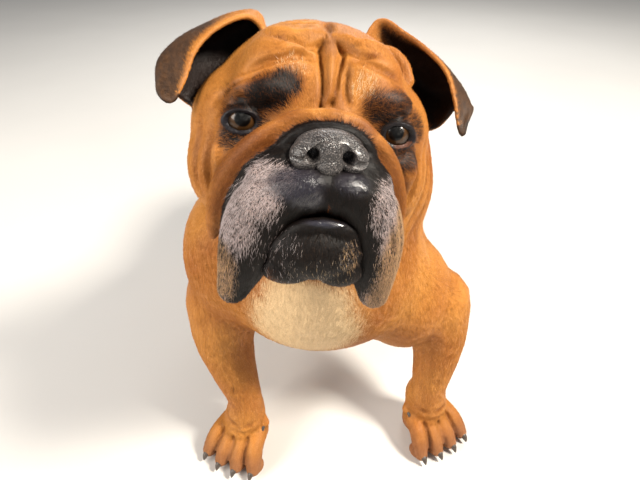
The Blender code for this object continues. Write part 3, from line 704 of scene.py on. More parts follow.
def make_jaw():
    clay = Clay(HEAD)
    clay.balls(JAW_MASSES)
    clay.roll_pair(*LOWER_LIP)
    return clay.fused("jaw", *FINENESS["jaw"])


# How freely each part of the skin is thinned
THINNING = {"body": 1.0, "paws": 0.2, "head": 0.25, "face": 0.03}


def keep_weights(points):
    head = in_head(points)
    weights = np.full(len(points), THINNING["body"])
    weights[points[:, 2] < 0.07] = THINNING["paws"]
    weights[behind_face(head) < 95] = THINNING["head"]
    weights[(head[:, 1] < 14) & (head[:, 2] > -125)] = THINNING["face"]
    return weights


def thinned(obj, triangles, weights):
    group = obj.vertex_groups.new(name="keep")
    for level in np.unique(weights):
        group.add(np.flatnonzero(weights == level).tolist(), float(level), "REPLACE")
    thin = obj.modifiers.new("Thin", "DECIMATE")
    thin.ratio = triangles / len(triangle_array(obj))
    thin.vertex_group = "keep"
    thin.vertex_group_factor = 0.05
    apply_modifiers(obj)
    obj.vertex_groups.clear()
    return obj


DEEP_COAT = 0.0014  # on the body
SHALLOW_COAT = 0.0005  # on the head and the paws


def coat_depth(points):
    """How far the skin lies inside the solids, so that the coat's tips reach their surface."""
    on_head = ramp(-behind_face(in_head(points)), -110, -70)
    depth = DEEP_COAT * (1 - on_head) + SHALLOW_COAT * on_head
    return np.where(points[:, 2] < 0.06, SHALLOW_COAT, depth)


def sink(obj):
    points = vertex_array(obj)
    points = points - vertex_array(obj, "normal") * coat_depth(points)[:, None]
    points[:, 2] = np.maximum(points[:, 2], 0.0)
    move_vertices(obj, points)


def make_skin(voxel, triangles):
    """One skin over the whole animal. The lower jaw is a shell of its own below the line of the mouth."""
    body, skull = make_body(), make_skull()
    paws = [make_paw(where, side) for where, side in zip(PAWS, (1, -1, 0, 0))]
    ears = [make_ear(LEFT_EAR), make_ear(RIGHT_EAR)]
    clay = Clay()
    for piece in (body, skull, *paws, *ears):
        clay.add(piece)
    add_face(clay)
    skin = clay.fused("skin", voxel, SKIN_SOFTENING)
    fold_skin(skin)
    open_lids(skin)
    thinned(skin, triangles, keep_weights(vertex_array(skin)))
    sink(skin)
    jaw = make_jaw()
    select_only(skin)
    jaw.select_set(True)
    bpy.ops.object.join()
    skin.data.shade_smooth()
    return skin


# Markings and painted shade and sheen, as patches: centre, radii and strength. All but the chest and the
# scuffs are in the head's frame.
DARK_PATCHES = (
    ((-50, -9, 3), (18, 18, 15), 1.0),
    ((-36, -10, 17), (17, 16, 13), 1.0),
    ((-26, -12, 24), (13, 14, 11), 0.95),
    ((-60, -4, 14), (12, 14, 12), 0.5),
    ((-54, -10, -9), (20, 16, 13), 0.85),
    ((-40, -20, -9), (13, 14, 9), 0.75),
    ((52, -9, 1), (20, 18, 17), 1.0),
    ((49, -8, 18), (19, 16, 12), 0.8),
    ((36, -11, 15), (14, 14, 14), 0.8),
    ((58, -7, -13), (18, 15, 13), 0.85),
    ((68, 4, 8), (12, 14, 14), 0.75),
)
GREY_PATCHES = (
    ((-39, -49, -38), (18, 22, 22), 1.0),
    ((-50, -40, -56), (18, 24, 26), 0.85),
    ((-54, -36, -78), (9, 22, 22), 0.6),
    ((-57, -30, -96), (10, 24, 24), 0.8),
    ((-28, -48, -30), (14, 20, 12), 0.75),
    ((36, -47, -42), (14, 26, 20), 0.75),
    ((45, -40, -62), (14, 28, 28), 0.95),
    ((53, -33, -86), (20, 30, 38), 1.0),
    ((49, -30, -110), (17, 24, 20), 1.0),
    ((17, -52, -74), (8, 12, 14), 0.36),
    ((0, -44, -82), (36, 20, 22), 0.15),
    ((-26, -50, -80), (24, 20, 34), 0.16),
    ((0, -56, -40), (26, 14, 14), 0.08),
    ((24, -12, 28), (12, 12, 12), 0.3),
    ((-22, -10, 36), (14, 12, 9), 0.25),
)
# Darker brown below the eyes and down the cheeks; the patches over the rope, between the brows and in the
# crown's notch are painted shade
BROWN_PATCHES = (
    ((-40, -24, -18), (20, 14, 22), 1.0),
    ((-54, -14, -30), (18, 14, 26), 1.0),
    ((-62, 2, -50), (12, 14, 30), 0.6),
    ((38, -24, -18), (20, 14, 22), 0.9),
    ((52, -12, -44), (14, 14, 26), 0.8),
    ((-20, -30, 4), (16, 14, 8), 0.8),
    ((20, -30, 2), (16, 14, 8), 0.9),
    ((2, -30, 6), (10, 12, 9), 1.0),
    ((2, -14, 20), (16, 10, 14), 0.5),
    ((-2, 6, 58), (16, 14, 8), 0.35),
)
CREAM_HAIRS = (
    ((54, -32, -84), (24, 36, 62), 1.0),
    ((-57, -30, -92), (14, 24, 28), 1.0),
    ((8, -48, -78), (34, 18, 24), 0.9),
    ((24, -12, 28), (30, 24, 30), 0.9),
    ((-22, -10, 36), (30, 24, 24), 0.9),
)
# Wet skin: glossier, and painted with a bluish sheen of reflected light in its colour
WET_PATCHES = (
    ((-19, -54, -32), (18, 18, 11), 1.0),
    ((-12, -60, -39), (12, 12, 6), 0.9),
    ((13, -54, -29), (11, 18, 6), 0.8),
)
LOWER_LIP_EDGE = ((1, -56.5, -53.8), (15, 10, 2.2), 0.85)
CHIN_PATCH = ((0, -42, -72), (46, 36, 40), 1.0)
THROAT_PATCH = ((-4, -22, -104), (34, 26, 16), 1.0)
LIP_SPOT = ((1.5, -59, -45), (1.4, 7, 3), 0.6)
FOREHEAD_LUMP = (
    ((2.5, 2, 50), (5, 10, 12), 0.6),
    ((2.5, -6, 34), (4, 8, 9), 0.25),
)
CHEST_PATCHES = (
    ((-38, -26, 238), (60, 60, 60), 0.95),
    ((-34, -30, 280), (44, 60, 44), 0.9),
)
BELLY_PATCH = ((-24, 150, 150), (60, 150, 36), 0.8)
SCUFFS = (
    ((-119, 8, 113), (3.5, 8, 6), 1.0),
    ((-117, 8, 119), (2.5, 8, 3), 1.0),
    ((104, 20, 108), (3.5, 10, 3), 1.0),
)
FAR = 9.0  # radii of a roll, beyond its reach


def patches(points, places):
    """The strongest of several soft patches at each point, from 0 to 1."""
    most = np.zeros(len(points))
    for centre, radii, strength in places:
        reach = np.linalg.norm((points - centre) / np.array(radii), axis=1)
        most = np.maximum(most, strength * (1 - ramp(reach, 0.55, 1.2)))
    return most


def roll_reach(points, line, radii):
    """How far each point is from a roll's centre line, in radii of the roll."""
    path = smooth_path(line, radii)
    low, high = path[:, :3].min(axis=0) - 45, path[:, :3].max(axis=0) + 45
    close = np.flatnonzero(np.all((points > low) & (points < high), axis=1))
    reach = np.full(len(points), FAR)
    for x, y, z, radius in path[::2]:
        reach[close] = np.minimum(reach[close], np.linalg.norm(points[close] - (x, y, z), axis=1) / radius)
    return reach


def rolls_reach(points, rolls, fullness=(1, 1)):
    """The same for the nearest of several mirrored rolls."""
    nearest = np.full(len(points), FAR)
    for line, radii in rolls:
        for side_line in both_sides(line, fullness):
            nearest = np.minimum(nearest, roll_reach(points, side_line, radii))
    return nearest


def lid_places(points):
    """How near each point is to the lids' bare rims, and to the pink inside of the left eye's lower lid."""
    rim = np.zeros(len(points))
    pink = np.zeros(len(points))
    for side, ((across, up), (wide, high)) in LID_OPENINGS.items():
        offset = points - eye_centre(side)
        almond = np.sqrt(((offset[:, 0] - side * across) / wide) ** 2 + ((offset[:, 2] - up) / high) ** 2)
        close = (np.linalg.norm(offset, axis=1) < LID_RADIUS + 5) & (offset[:, 1] < -2)
        rim = np.where(close, np.maximum(rim, 1 - ramp(almond, 1.16, 1.34)), rim)
        if side == 1:
            low = ramp(-offset[:, 2], high * 0.45, high * 0.8) * ramp(offset[:, 0], -4, 1)
            pink = np.where(close, low * (1 - ramp(almond, 1.05, 1.2)), pink)
    return rim, pink


EAR_MARKING_GRID = (30, 30)
AT_A_TIME = 4000  # points held against an ear's sheet in one go


def ear_places(points):
    """For each point, from 0 to 1: how near it is to an ear's sheet, how much it is inside the cup, how far
    it is from the ear's root, and how near the front edge."""
    near, inner, along, rim = np.zeros((4, len(points)))
    for rows, side in ((LEFT_EAR, 1), (RIGHT_EAR, -1)):
        sheet = between(rows, *EAR_MARKING_GRID)
        flat, across = sheet.reshape(-1, 3), sheet_normals(sheet).reshape(-1, 3)
        low, high = flat.min(axis=0) - 8, flat.max(axis=0) + 8
        close = np.flatnonzero(np.all((points > low) & (points < high), axis=1))
        for start in range(0, len(close), AT_A_TIME):
            some = close[start : start + AT_A_TIME]
            gap = points[some][:, None, :] - flat[None, :, :]
            distance = np.linalg.norm(gap, axis=2)
            nearest = distance.argmin(axis=1)
            height = np.einsum("ij,ij->i", gap[np.arange(len(some)), nearest], across[nearest]) * side
            near[some] = 1 - ramp(distance.min(axis=1), 4.5, 7.5)
            along[some] = (nearest % sheet.shape[1]) / (sheet.shape[1] - 1)
            inner[some] = ramp(height, -0.6, 0.6) * (ramp(along[some], 0.05, 0.22) if side == 1 else 1)
            rim[some] = 1 - ramp((nearest // sheet.shape[1]) / (sheet.shape[0] - 1), 0.0, 0.12)
    return near, inner, along, rim


def fold_shade(points, head, body):
    """How deep each point lies in a crease, from 0 to 1 where it is deepest."""
    shade = -fold_heights(head, ALL_HEAD_FOLDS) / FULL_SHADE["head"]
    shade = np.maximum(shade, -fold_heights(body, BODY_FOLDS) / FULL_SHADE["body"])
    shade = np.maximum(shade, -fold_heights(body, neck_folds()) / FULL_SHADE["neck"])
    for where in PAWS:
        in_paw = placed(points, where.inverted())
        shade = np.maximum(shade, -fold_heights(in_paw, PAW_FOLDS) / FULL_SHADE["paw"])
    return shade


def markings(points):
    """What the coat is like at each point, and where shade and sheen are painted on it: shares from 0 to 1.
    """
    head, body = in_head(points), in_body(points)
    on_head = ramp(-behind_face(head), -100, -80)
    near_face = ramp(-head[:, 1], -18, -6) * (head[:, 2] > -130)
    muzzle = np.minimum(rolls_reach(head, FLEWS, FACE_FULLNESS), rolls_reach(head, [NOSE_BED]))
    rope = rolls_reach(head, [NOSE_ROPE], FACE_FULLNESS)
    on_muzzle = (1 - ramp(muzzle, 1.06, 1.3)) * ramp(rope - muzzle, -0.05, 0.12)
    rim, pink = lid_places(head)

    # The black mask, with silver hairs over it
    chin = patches(head, [CHIN_PATCH]) * ramp(-head[:, 1], 0, 14)
    brows = patches(head, DARK_PATCHES) * ramp(rope, 0.9, 1.25)
    dark = np.maximum(np.maximum(on_muzzle, chin), 0.82 * brows)
    dark = np.maximum(dark * near_face, rim) * on_head
    grey = patches(head, GREY_PATCHES) * on_head * near_face * (1 - rim)
    gold = patches(head, CREAM_HAIRS) * near_face

    # The cream chest, belly and throat
    throat = patches(head, [THROAT_PATCH]) * (1 - np.maximum(on_muzzle, 0))
    chest = patches(body, CHEST_PATCHES) * ramp(-body[:, 1], -46, -8)
    cream = np.maximum(chest, patches(body, [BELLY_PATCH]))
    cream = np.maximum(cream, 0.5 * throat) * (1 - dark)

    # Ears, whose cups are painted dark as shade, bare skin, and wet skin, which gets a painted sheen
    ear, inner, along, ear_rim = ear_places(head)
    leather = ear * np.maximum(inner, ramp(along, 0.22, 0.52)) * (1 - 0.75 * ear_rim)
    toes = (1 - ramp(body[:, 2], 18, 44)) * (1 - 0.4 * ramp(body[:, 1], 200, 300))
    lip_spot = patches(head, [LIP_SPOT])
    bare = np.maximum.reduce([toes * 0.8, patches(head, FOREHEAD_LUMP), pink, lip_spot])
    wet = np.maximum.reduce([patches(head, WET_PATCHES), rim * 0.35, patches(head, [LOWER_LIP_EDGE])])

    # Painted shade in the creases and beside the muzzle, the darker scuffs, and darker brown round the mask,
    # which is painted shade on the rope, between the brows and in the crown's notch
    scuff = patches(body, SCUFFS)
    # painted shade on the skin round the flews and the nose bed, in front of the face
    shade_beside_muzzle = 0.95 * (1 - ramp(muzzle, 1.05, 2.3)) * ramp(-head[:, 1], 4, 16)
    brown = [0.95 * patches(head, BROWN_PATCHES), 0.95 * np.sqrt(brows) * near_face, shade_beside_muzzle]
    brown = np.maximum.reduce(brown) * on_head
    # the shade share: painted shade, with the scuffs and the darker brown hair in it
    shade = np.maximum.reduce([fold_shade(points, head, body), scuff, brown])
    return {
        "dark": np.maximum(dark * (1 - pink) * (1 - lip_spot), scuff),
        "grey": grey * (1 - pink),
        "gold": gold,
        "cream": cream,
        "bare": bare,
        "wet": wet,
        "shade": np.clip(shade, 0, 1),
        "ear": leather * (head[:, 1] < 95),
        # the cup inside the ear, painted near-black as shade
        "inner": inner * leather * ramp(along, 0.0, 0.04),
    }


def write_markings(mesh, marks, tint):
    """Stores the shares as two colour attributes on the mesh's points."""
    ear = marks["ear"] * 0.5 + marks["inner"] * 0.5
    for name, channels in (
        ("markings", (marks["dark"], marks["grey"], marks["cream"], marks["bare"])),
        ("surface", (marks["wet"], marks["shade"], tint, ear)),
    ):
        attribute = mesh.attributes.new(name, "FLOAT_COLOR", "POINT")
        attribute.data.foreach_set("color", np.column_stack(channels).ravel())


# Shader helpers


class Nodes:
    """Short names for adding nodes to one tree."""

    def __init__(self, tree):
        self.tree = tree

    def add(self, kind, **inputs):
        node = self.tree.nodes.new("ShaderNode" + kind)
        for name, value in inputs.items():
            self.feed(node, name.replace("_", " "), value)
        return node

    def feed(self, node, name, value):
        socket = node.inputs[int(name[5:]) if name.startswith("input") else name]
        if isinstance(value, bpy.types.NodeSocket):
            self.tree.links.new(value, socket)
        else:
            socket.default_value = value

    def group(self, tree):
        node = self.tree.nodes.new("ShaderNodeGroup")
        node.node_tree = tree
        return node

    def maths(self, operation, first, second=0.0):
        node = self.add("Math", input0=first, input1=second)
        node.operation = operation
        return node.outputs[0]

    def plus(self, first, second):
        return self.maths("ADD", first, second)

    def times(self, first, second):
        return self.maths("MULTIPLY", first, second)

    def mix(self, share, first, second, blend="MIX"):
        node = self.tree.nodes.new("ShaderNodeMix")
        node.data_type = "RGBA"
        node.blend_type = blend
        self.feed(node, "input0", share)
        self.feed(node, "input6", first)
        self.feed(node, "input7", second)
        return node.outputs[2]

    def span(self, value, from_low, from_high, to_low=0.0, to_high=1.0):
        ends = {"From_Min": from_low, "From_Max": from_high, "To_Min": to_low, "To_Max": to_high}
        return self.add("MapRange", Value=value, **ends).outputs[0]

    def noise(self, vector, scale, detail=2.0, roughness=0.5):
        node = self.add("TexNoise", Vector=vector, Scale=scale, Detail=detail, Roughness=roughness)
        return node.outputs["Fac"]

    def stretched(self, vector, scale, turn=(0, 0, 0)):
        return self.add("Mapping", Vector=vector, Scale=scale, Rotation=turn).outputs[0]

    def attribute(self, name):
        node = self.tree.nodes.new("ShaderNodeAttribute")
        node.attribute_name = name
        split = self.add("SeparateColor", Color=node.outputs["Color"])
        return [*split.outputs, node.outputs["Alpha"]]

    def object_place(self):
        return self.add("TexCoord").outputs["Object"]

    def relief(self, surface, height, distance, strength=1.0):
        bump = self.add("Bump", Height=height, Distance=distance, Strength=strength)
        self.feed(surface, "Normal", bump.outputs[0])


def new_group(name, inputs, outputs):
    """A node group with named sockets. Each is a name, a socket type, and for inputs a default."""
    group = bpy.data.node_groups.new(name, "ShaderNodeTree")
    for socket_name, kind, default in inputs:
        socket = group.interface.new_socket(socket_name, in_out="INPUT", socket_type=kind)
        socket.default_value = default
    for socket_name, kind in outputs:
        group.interface.new_socket(socket_name, in_out="OUTPUT", socket_type=kind)
    given, out = (group.nodes.new("NodeGroup" + end) for end in ("Input", "Output"))
    return group, Nodes(group), given.outputs, out


COLOUR, NUMBER = "NodeSocketColor", "NodeSocketFloat"


def hair_grain_group():
    """Fine streaks along the lie of the coat: down the legs, back along the body and out over the face."""
    group, nodes, _, out = new_group("Hair grain", [], [("Grain", NUMBER), ("Clumps", NUMBER)])
    place = nodes.object_place()
    height = nodes.add("SeparateXYZ", Vector=place).outputs
    along_body = nodes.noise(nodes.stretched(place, (1600, 220, 1100), (0.35, 0, 0)), 1.0, 3.0, 0.6)
    down_legs = nodes.noise(nodes.stretched(place, (1500, 1300, 240)), 1.0, 3.0, 0.6)
    on_face = nodes.noise(nodes.stretched(place, (1300, 1300, 420), (0.3, 0.2, 0)), 1.0, 3.0, 0.6)
    leg = nodes.span(height["Z"], 0.24, 0.16)
    face = nodes.times(nodes.span(height["Y"], -0.16, -0.20), nodes.span(height["Z"], 0.28, 0.32))
    nodes.feed(out, "Grain", nodes.mix(face, nodes.mix(leg, along_body, down_legs), on_face))
    clumps = nodes.noise(nodes.stretched(place, (260, 90, 200), (0.35, 0, 0)), 1.0, 2.0, 0.5)
    nodes.feed(out, "Clumps", clumps)
    return group


DARK_SABLE = (0.034, 0.019, 0.011, 1)
# Near-black painted shade inside the ears' cups
EAR_CUP_SHADE = (0.008, 0.003, 0.002, 1)
# Bluish painted reflection of light on the wet skin
PAINTED_WET_SHEEN = (0.062, 0.07, 0.105, 1)
# Darkens painted shade, the scuffs and the brown hair
SHADE_AND_DARK_MARK_TINT = (0.3, 0.17, 0.12, 1)


def coat_colour_group(grain_group):
    """The colour of skin and hair from the markings and the painted shade and sheen, the same on the skin
    and on the tufts over it.
    """
    names = ("Fawn", "Deep fawn", "Dark mask", "Grey hairs", "Cream", "Bare skin", "Ear leather")
    group, nodes, given, out = new_group(
        "Coat colour",
        [(name, COLOUR, (0.5, 0.5, 0.5, 1)) for name in names] + [("Raggedness", NUMBER, 1.0)],
        [("Color", COLOUR), ("Wet", NUMBER), ("Height", NUMBER)],
    )
    dark, grey, cream, bare = nodes.attribute("markings")
    wet, shade, tint, ear = nodes.attribute("surface")
    grain, clumps = nodes.group(grain_group).outputs
    place = nodes.object_place()
    ragged = nodes.times(nodes.maths("SUBTRACT", grain, 0.5), given["Raggedness"])

    def edged(share, softness):
        moved = nodes.plus(share, nodes.times(ragged, 1.4))
        return nodes.span(moved, 0.5 - softness, 0.5 + softness)

    # Fawn in broad patches, the cream chest, the ears with painted shade in their cups, and the bare skin
    broad = nodes.span(nodes.noise(place, 14.0, 3.0), 0.38, 0.66)
    result = nodes.mix(broad, given["Fawn"], given["Deep fawn"])
    result = nodes.mix(edged(cream, 0.4), result, given["Cream"])
    outer = nodes.times(nodes.span(ear, 0.12, 0.5), nodes.span(clumps, 0.3, 0.6, 0.93, 1.0))
    result = nodes.mix(outer, result, given["Ear leather"])
    result = nodes.mix(nodes.times(nodes.span(ear, 0.55, 0.95), 0.95), result, EAR_CUP_SHADE)
    result = nodes.mix(nodes.times(bare, 0.8), result, given["Bare skin"])

    # The black mask with pale hairs, and the wet skin in it with a painted bluish sheen
    sable = nodes.mix(nodes.span(tint, 0.5, 0.9), given["Dark mask"], DARK_SABLE)
    result = nodes.mix(edged(dark, 0.3), result, sable)
    hairs = nodes.span(nodes.plus(grey, nodes.times(ragged, 2.2)), 0.42, 0.75)
    pale = nodes.mix(nodes.span(cream, 0.2, 0.7), given["Grey hairs"], given["Cream"])
    pale = nodes.mix(nodes.span(tint, 0.1, 0.6, 0.55, 0.0), pale, given["Dark mask"])
    result = nodes.mix(nodes.times(hairs, nodes.span(grey, 0.02, 0.2)), result, pale)
    result = nodes.mix(nodes.times(wet, 0.85), result, PAINTED_WET_SHEEN)

    # Painted shade in the creases, on the rope and beside the muzzle, the darker scuffs and brown hair, and
    # each hair a little lighter or darker
    deep = nodes.mix(1.0, result, SHADE_AND_DARK_MARK_TINT, "MULTIPLY")
    result = nodes.mix(nodes.times(shade, 0.85), result, deep)
    bright = nodes.add("VectorMath", input0=result)
    bright.operation = "SCALE"
    lights = nodes.times(nodes.span(grain, 0.3, 0.7, 0.8, 1.14), nodes.span(tint, 0, 1, 0.7, 1.24))
    nodes.feed(bright, "Scale", lights)
    nodes.feed(out, "Color", bright.outputs[0])
    nodes.feed(out, "Wet", wet)
    ripples = nodes.times(wet, nodes.noise(nodes.stretched(place, (240, 240, 420)), 1.0, 3.0))
    height = nodes.plus(nodes.plus(grain, nodes.times(clumps, 1.2)), nodes.times(ripples, 9.0))
    nodes.feed(out, "Height", height)
    return group


def new_material(name, **constants):
    """A material, and its nodes and shader. The constants are set on the shader's own sockets."""
    material = bpy.data.materials.new(name)
    material.use_nodes = True
    surface = material.node_tree.nodes["Principled BSDF"]
    for socket, value in constants.items():
        surface.inputs[socket.replace("_", " ")].default_value = value
    return material, Nodes(material.node_tree), surface


def coat_material(name, colours, raggedness, roughness, bump):
    """Skin or hair. Both read the same markings."""
    material, nodes, surface = new_material(name, Coat_Roughness=0.16, Specular_IOR_Level=0.22)
    group = nodes.group(bpy.data.node_groups["Coat colour"])
    for socket, value in (
        ("Fawn", colours.fawn),
        ("Deep fawn", colours.deep_fawn),
        ("Dark mask", colours.mask),
        ("Grey hairs", colours.grey_hairs),
        ("Cream", colours.cream),
        ("Bare skin", colours.bare_skin),
        ("Ear leather", colours.ear),
    ):
        group.inputs[socket].default_value = (*value, 1)
    group.inputs["Raggedness"].default_value = raggedness
    colour, wet, height = group.outputs
    nodes.feed(surface, "Base Color", colour)
    nodes.feed(surface, "Roughness", nodes.span(wet, 0.2, 0.9, roughness, 0.25))
    nodes.feed(surface, "Coat Weight", nodes.span(wet, 0.3, 0.8))
    nodes.relief(surface, height, bump, 0.7)
    return material


# The coat


NOSE_TIP = (2.0, -52.0, -12.0)  # the hair of the head fans out from here


def coat_lie(points, normals):
    """The direction in which the hair lies at each point, along the skin."""
    head, body = in_head(points), in_body(points)
    from_nose = unit(head - np.array(NOSE_TIP))
    below = ramp(-head[:, 2], -5, 25)
    none = 0 * below
    head_way = from_nose + np.column_stack([none, 0.25 + none, -0.75 * below])
    head_way = unit(head_way @ np.array(HEAD.to_3x3()).T)
    leg = ramp(-body[:, 2], -225, -150)
    chest = ramp(-body[:, 1], -90, -20) * (1 - leg)
    belly = ramp(-normals[:, 2], 0.3, 0.8) * (1 - leg)
    rump = ramp(body[:, 1], 350, 430) * (1 - leg)
    paw = ramp(-body[:, 2], -56, -30)
    way = np.column_stack([none, 1 + none, -0.35 - 0.35 * np.abs(normals[:, 0])])
    for share, towards in (
        (chest, (0.0, -0.15, -1)),
        (belly, (0, 1, -0.1)),
        (rump, (0, 0.25, -1)),
        (leg, (0, 0.2, -1)),
        (paw, (0, -1, -0.35)),
    ):
        way = way * (1 - share[:, None]) + np.array(towards) * share[:, None]
    on_head = ramp(-behind_face(head), -120, -80)[:, None]
    way = unit(way) * (1 - on_head) + head_way * on_head
    swirl = 0.35 * np.sin(body[:, 0] / 31 + body[:, 2] / 23)
    swirl += 0.25 * np.sin(body[:, 1] / 17 - body[:, 2] / 29 + 1.3)
    way = way + np.cross(normals, way) * swirl[:, None] * 0.6
    way -= normals * np.einsum("ij,ij->i", way, normals)[:, None]
    return unit(way)


COAT_PIECES = {
    # name: density, length, width, lift, share of random turn
    "coat_muzzle": (1.75, 0.0042, 0.00032, 0.15, 0.26),
    "coat_face": (1.6, 0.0044, 0.00034, 0.13, 0.20),
    "coat_crown": (1.0, 0.0050, 0.00038, 0.12, 0.16),
    "coat_ears": (1.2, 0.0034, 0.00032, 0.14, 0.20),
    "coat_neck": (0.55, 0.0070, 0.00044, 0.08, 0.12),
    "coat_trunk_left": (0.36, 0.0080, 0.00050, 0.07, 0.12),
    "coat_trunk_right": (0.36, 0.0080, 0.00050, 0.07, 0.12),
    "coat_chest": (0.6, 0.0072, 0.00044, 0.08, 0.16),
    "coat_forelegs": (0.6, 0.0058, 0.00042, 0.08, 0.14),
    "coat_hindlegs": (0.45, 0.0062, 0.00044, 0.08, 0.12),
    "coat_paws": (0.85, 0.0038, 0.00034, 0.12, 0.16),
}
TUFTS = 356000  # over the whole animal
MOST_IN_A_PIECE = 48000
TUFT_PATCH = 0.003  # width of a tuft's patch on the map
MAP_TRIANGLES = 9000  # in the thinned copy of the skin that is unwrapped


def coat_regions(points):
    """The name of the coat piece that each point belongs to."""
    head, body = in_head(points), in_body(points)
    region = np.full(len(points), "coat_trunk_left", dtype=object)
    region[body[:, 0] < -16] = "coat_trunk_right"
    region[body[:, 1] < 62] = "coat_chest"
    region[(body[:, 2] > 300) & (body[:, 1] < 130)] = "coat_neck"
    legs = body[:, 2] < 185
    region[legs & (np.abs(body[:, 0] + 10) > 60) & (body[:, 1] < 150)] = "coat_forelegs"
    region[(body[:, 2] < 225) & (body[:, 1] > 270)] = "coat_hindlegs"
    region[body[:, 2] < 56] = "coat_paws"
    on_head = behind_face(head) < 84
    region[on_head] = "coat_crown"
    region[on_head & (head[:, 1] < 22) & (np.abs(head[:, 0]) < 92)] = "coat_face"
    muzzle = on_head & (head[:, 1] < -4) & (head[:, 2] < 6)
    muzzle &= (np.abs(head[:, 0]) < 34 + np.clip(-head[:, 2] * 0.55, 0, 40)) | (head[:, 2] < -60)
    region[muzzle] = "coat_muzzle"
    region[ear_places(head)[0] > 0.5] = "coat_ears"
    return region


def unwrapped_copy(skin):
    """A thinned copy of the skin, unwrapped, which gives each root its place on the map."""
    select_only(skin)
    bpy.ops.object.duplicate()
    rough = bpy.context.active_object
    thin = rough.modifiers.new("Thin", "DECIMATE")
    thin.ratio = MAP_TRIANGLES / len(triangle_array(rough))
    apply_modifiers(rough)
    bpy.ops.object.mode_set(mode="EDIT")
    bpy.ops.mesh.select_all(action="SELECT")
    bpy.ops.mesh.quads_convert_to_tris()
    bpy.ops.uv.smart_project(angle_limit=math.radians(66), island_margin=0.004)
    bpy.ops.object.mode_set(mode="OBJECT")
    return rough


def map_places(points, rough):
    """Each point's place on the unwrapped copy's map."""
    corners = vertex_array(rough)
    mesh = rough.data
    faces = np.empty(len(mesh.loops), np.int32)
    mesh.loops.foreach_get("vertex_index", faces)
    faces = faces.reshape(-1, 3)
    uvs = np.empty(len(mesh.loops) * 2)
    mesh.uv_layers.active.data.foreach_get("uv", uvs)
    uvs = uvs.reshape(-1, 3, 2)
    tree = BVHTree.FromPolygons(corners.tolist(), faces.tolist())
    found = [tree.find_nearest(point) for point in points.tolist()]
    index = np.array([hit[2] for hit in found])
    place = np.array([hit[0] for hit in found])
    a, b, c = (corners[faces[index, k]] for k in range(3))
    across = np.cross(b - a, c - a)
    area = np.maximum(np.einsum("ij,ij->i", across, across), 1e-18)
    second = np.einsum("ij,ij->i", np.cross(place - a, c - a), across) / area
    third = np.einsum("ij,ij->i", np.cross(b - a, place - a), across) / area
    weights = np.clip(np.column_stack([1 - second - third, second, third]), 0, 1)
    return np.einsum("ij,ijk->ik", weights / weights.sum(axis=1)[:, None], uvs[index])


def bare_places(points, normals):
    """Where no tuft grows: the soles, the lids, the nose leather and the lower lip."""
    head = in_head(points)
    bare = points[:, 2] < 0.0025
    bare |= (points[:, 2] < 0.012) & (normals[:, 2] < -0.35)
    bare |= lid_places(head)[0] > 0.1
    bare |= np.linalg.norm((head - (0, -48, -15)) / (24, 18, 14), axis=1) < 1
    bare |= patches(head, [LOWER_LIP_EDGE]) > 0.45
    return bare


def grow_tufts(roots, normals, ways, length, width, lift, tree, rng):
    """Thin tapered tufts, each with three sides and its tip close over the skin."""
    count = len(roots)
    size = rng.uniform(0.7, 1.3, count)[:, None]
    side = np.cross(normals, ways)
    long, wide = length * size, width * size
    base = roots - normals * wide * 0.5
    tip = roots + ways * long
    found = [tree.find_nearest(point) for point in tip.tolist()]
    rise = long * lift * rng.uniform(0.5, 1.6, count)[:, None] + wide * 0.3
    tip = np.array([hit[0] for hit in found]) + (np.array([hit[1] for hit in found]) + normals) / 2 * rise
    corners = []
    for angle in map(math.radians, (90, 210, 330)):
        corners.append(base + wide * 0.5 * (side * math.cos(angle) + normals * math.sin(angle) * 0.8))
    points = np.stack([*corners, tip], axis=1)
    faces = np.array([(2, 1, 0), (0, 1, 3), (1, 2, 3), (2, 0, 3)])
    faces = (faces[None] + 4 * np.arange(count)[:, None, None]).reshape(-1, 3)
    return points.reshape(-1, 3), faces


def write_tuft_map(mesh, faces, places):
    """Each tuft is a small patch at its root's place on the skin's map."""
    spots = np.array([(-1, -1), (1, -1), (0, -0.4), (0, 1)]) * (TUFT_PATCH / 2)
    uvs = (places[:, None, :] + spots[None]).reshape(-1, 2)
    layer = mesh.uv_layers.new(name="OFBake")
    layer.data.foreach_set("uv", uvs[faces.ravel()].astype(np.float32).ravel())


def smoothed(values, points, faces, rounds):
    """Values at the points of a mesh, averaged again and again with those of their neighbours."""
    count = len(points)
    first, second = faces.T.ravel(), faces[:, (1, 2, 0)].T.ravel()
    total = np.bincount(first, minlength=count) + np.bincount(second, minlength=count) + 1
    for _ in range(rounds):
        around = np.bincount(first, values[second], count) + np.bincount(second, values[first], count)
        values = (values + around) / total
    return values


def random_places(points, normals, faces, chosen, rng):
    """A random place in each chosen triangle, with its smooth normal."""
    first, second = rng.random(len(chosen)), rng.random(len(chosen))
    over = first + second > 1
    first[over], second[over] = 1 - first[over], 1 - second[over]
    weights = np.column_stack([1 - first - second, first, second])
    roots = np.einsum("ij,ijk->ik", weights, points[faces[chosen]])
    return roots, unit(np.einsum("ij,ijk->ik", weights, normals[faces[chosen]]))


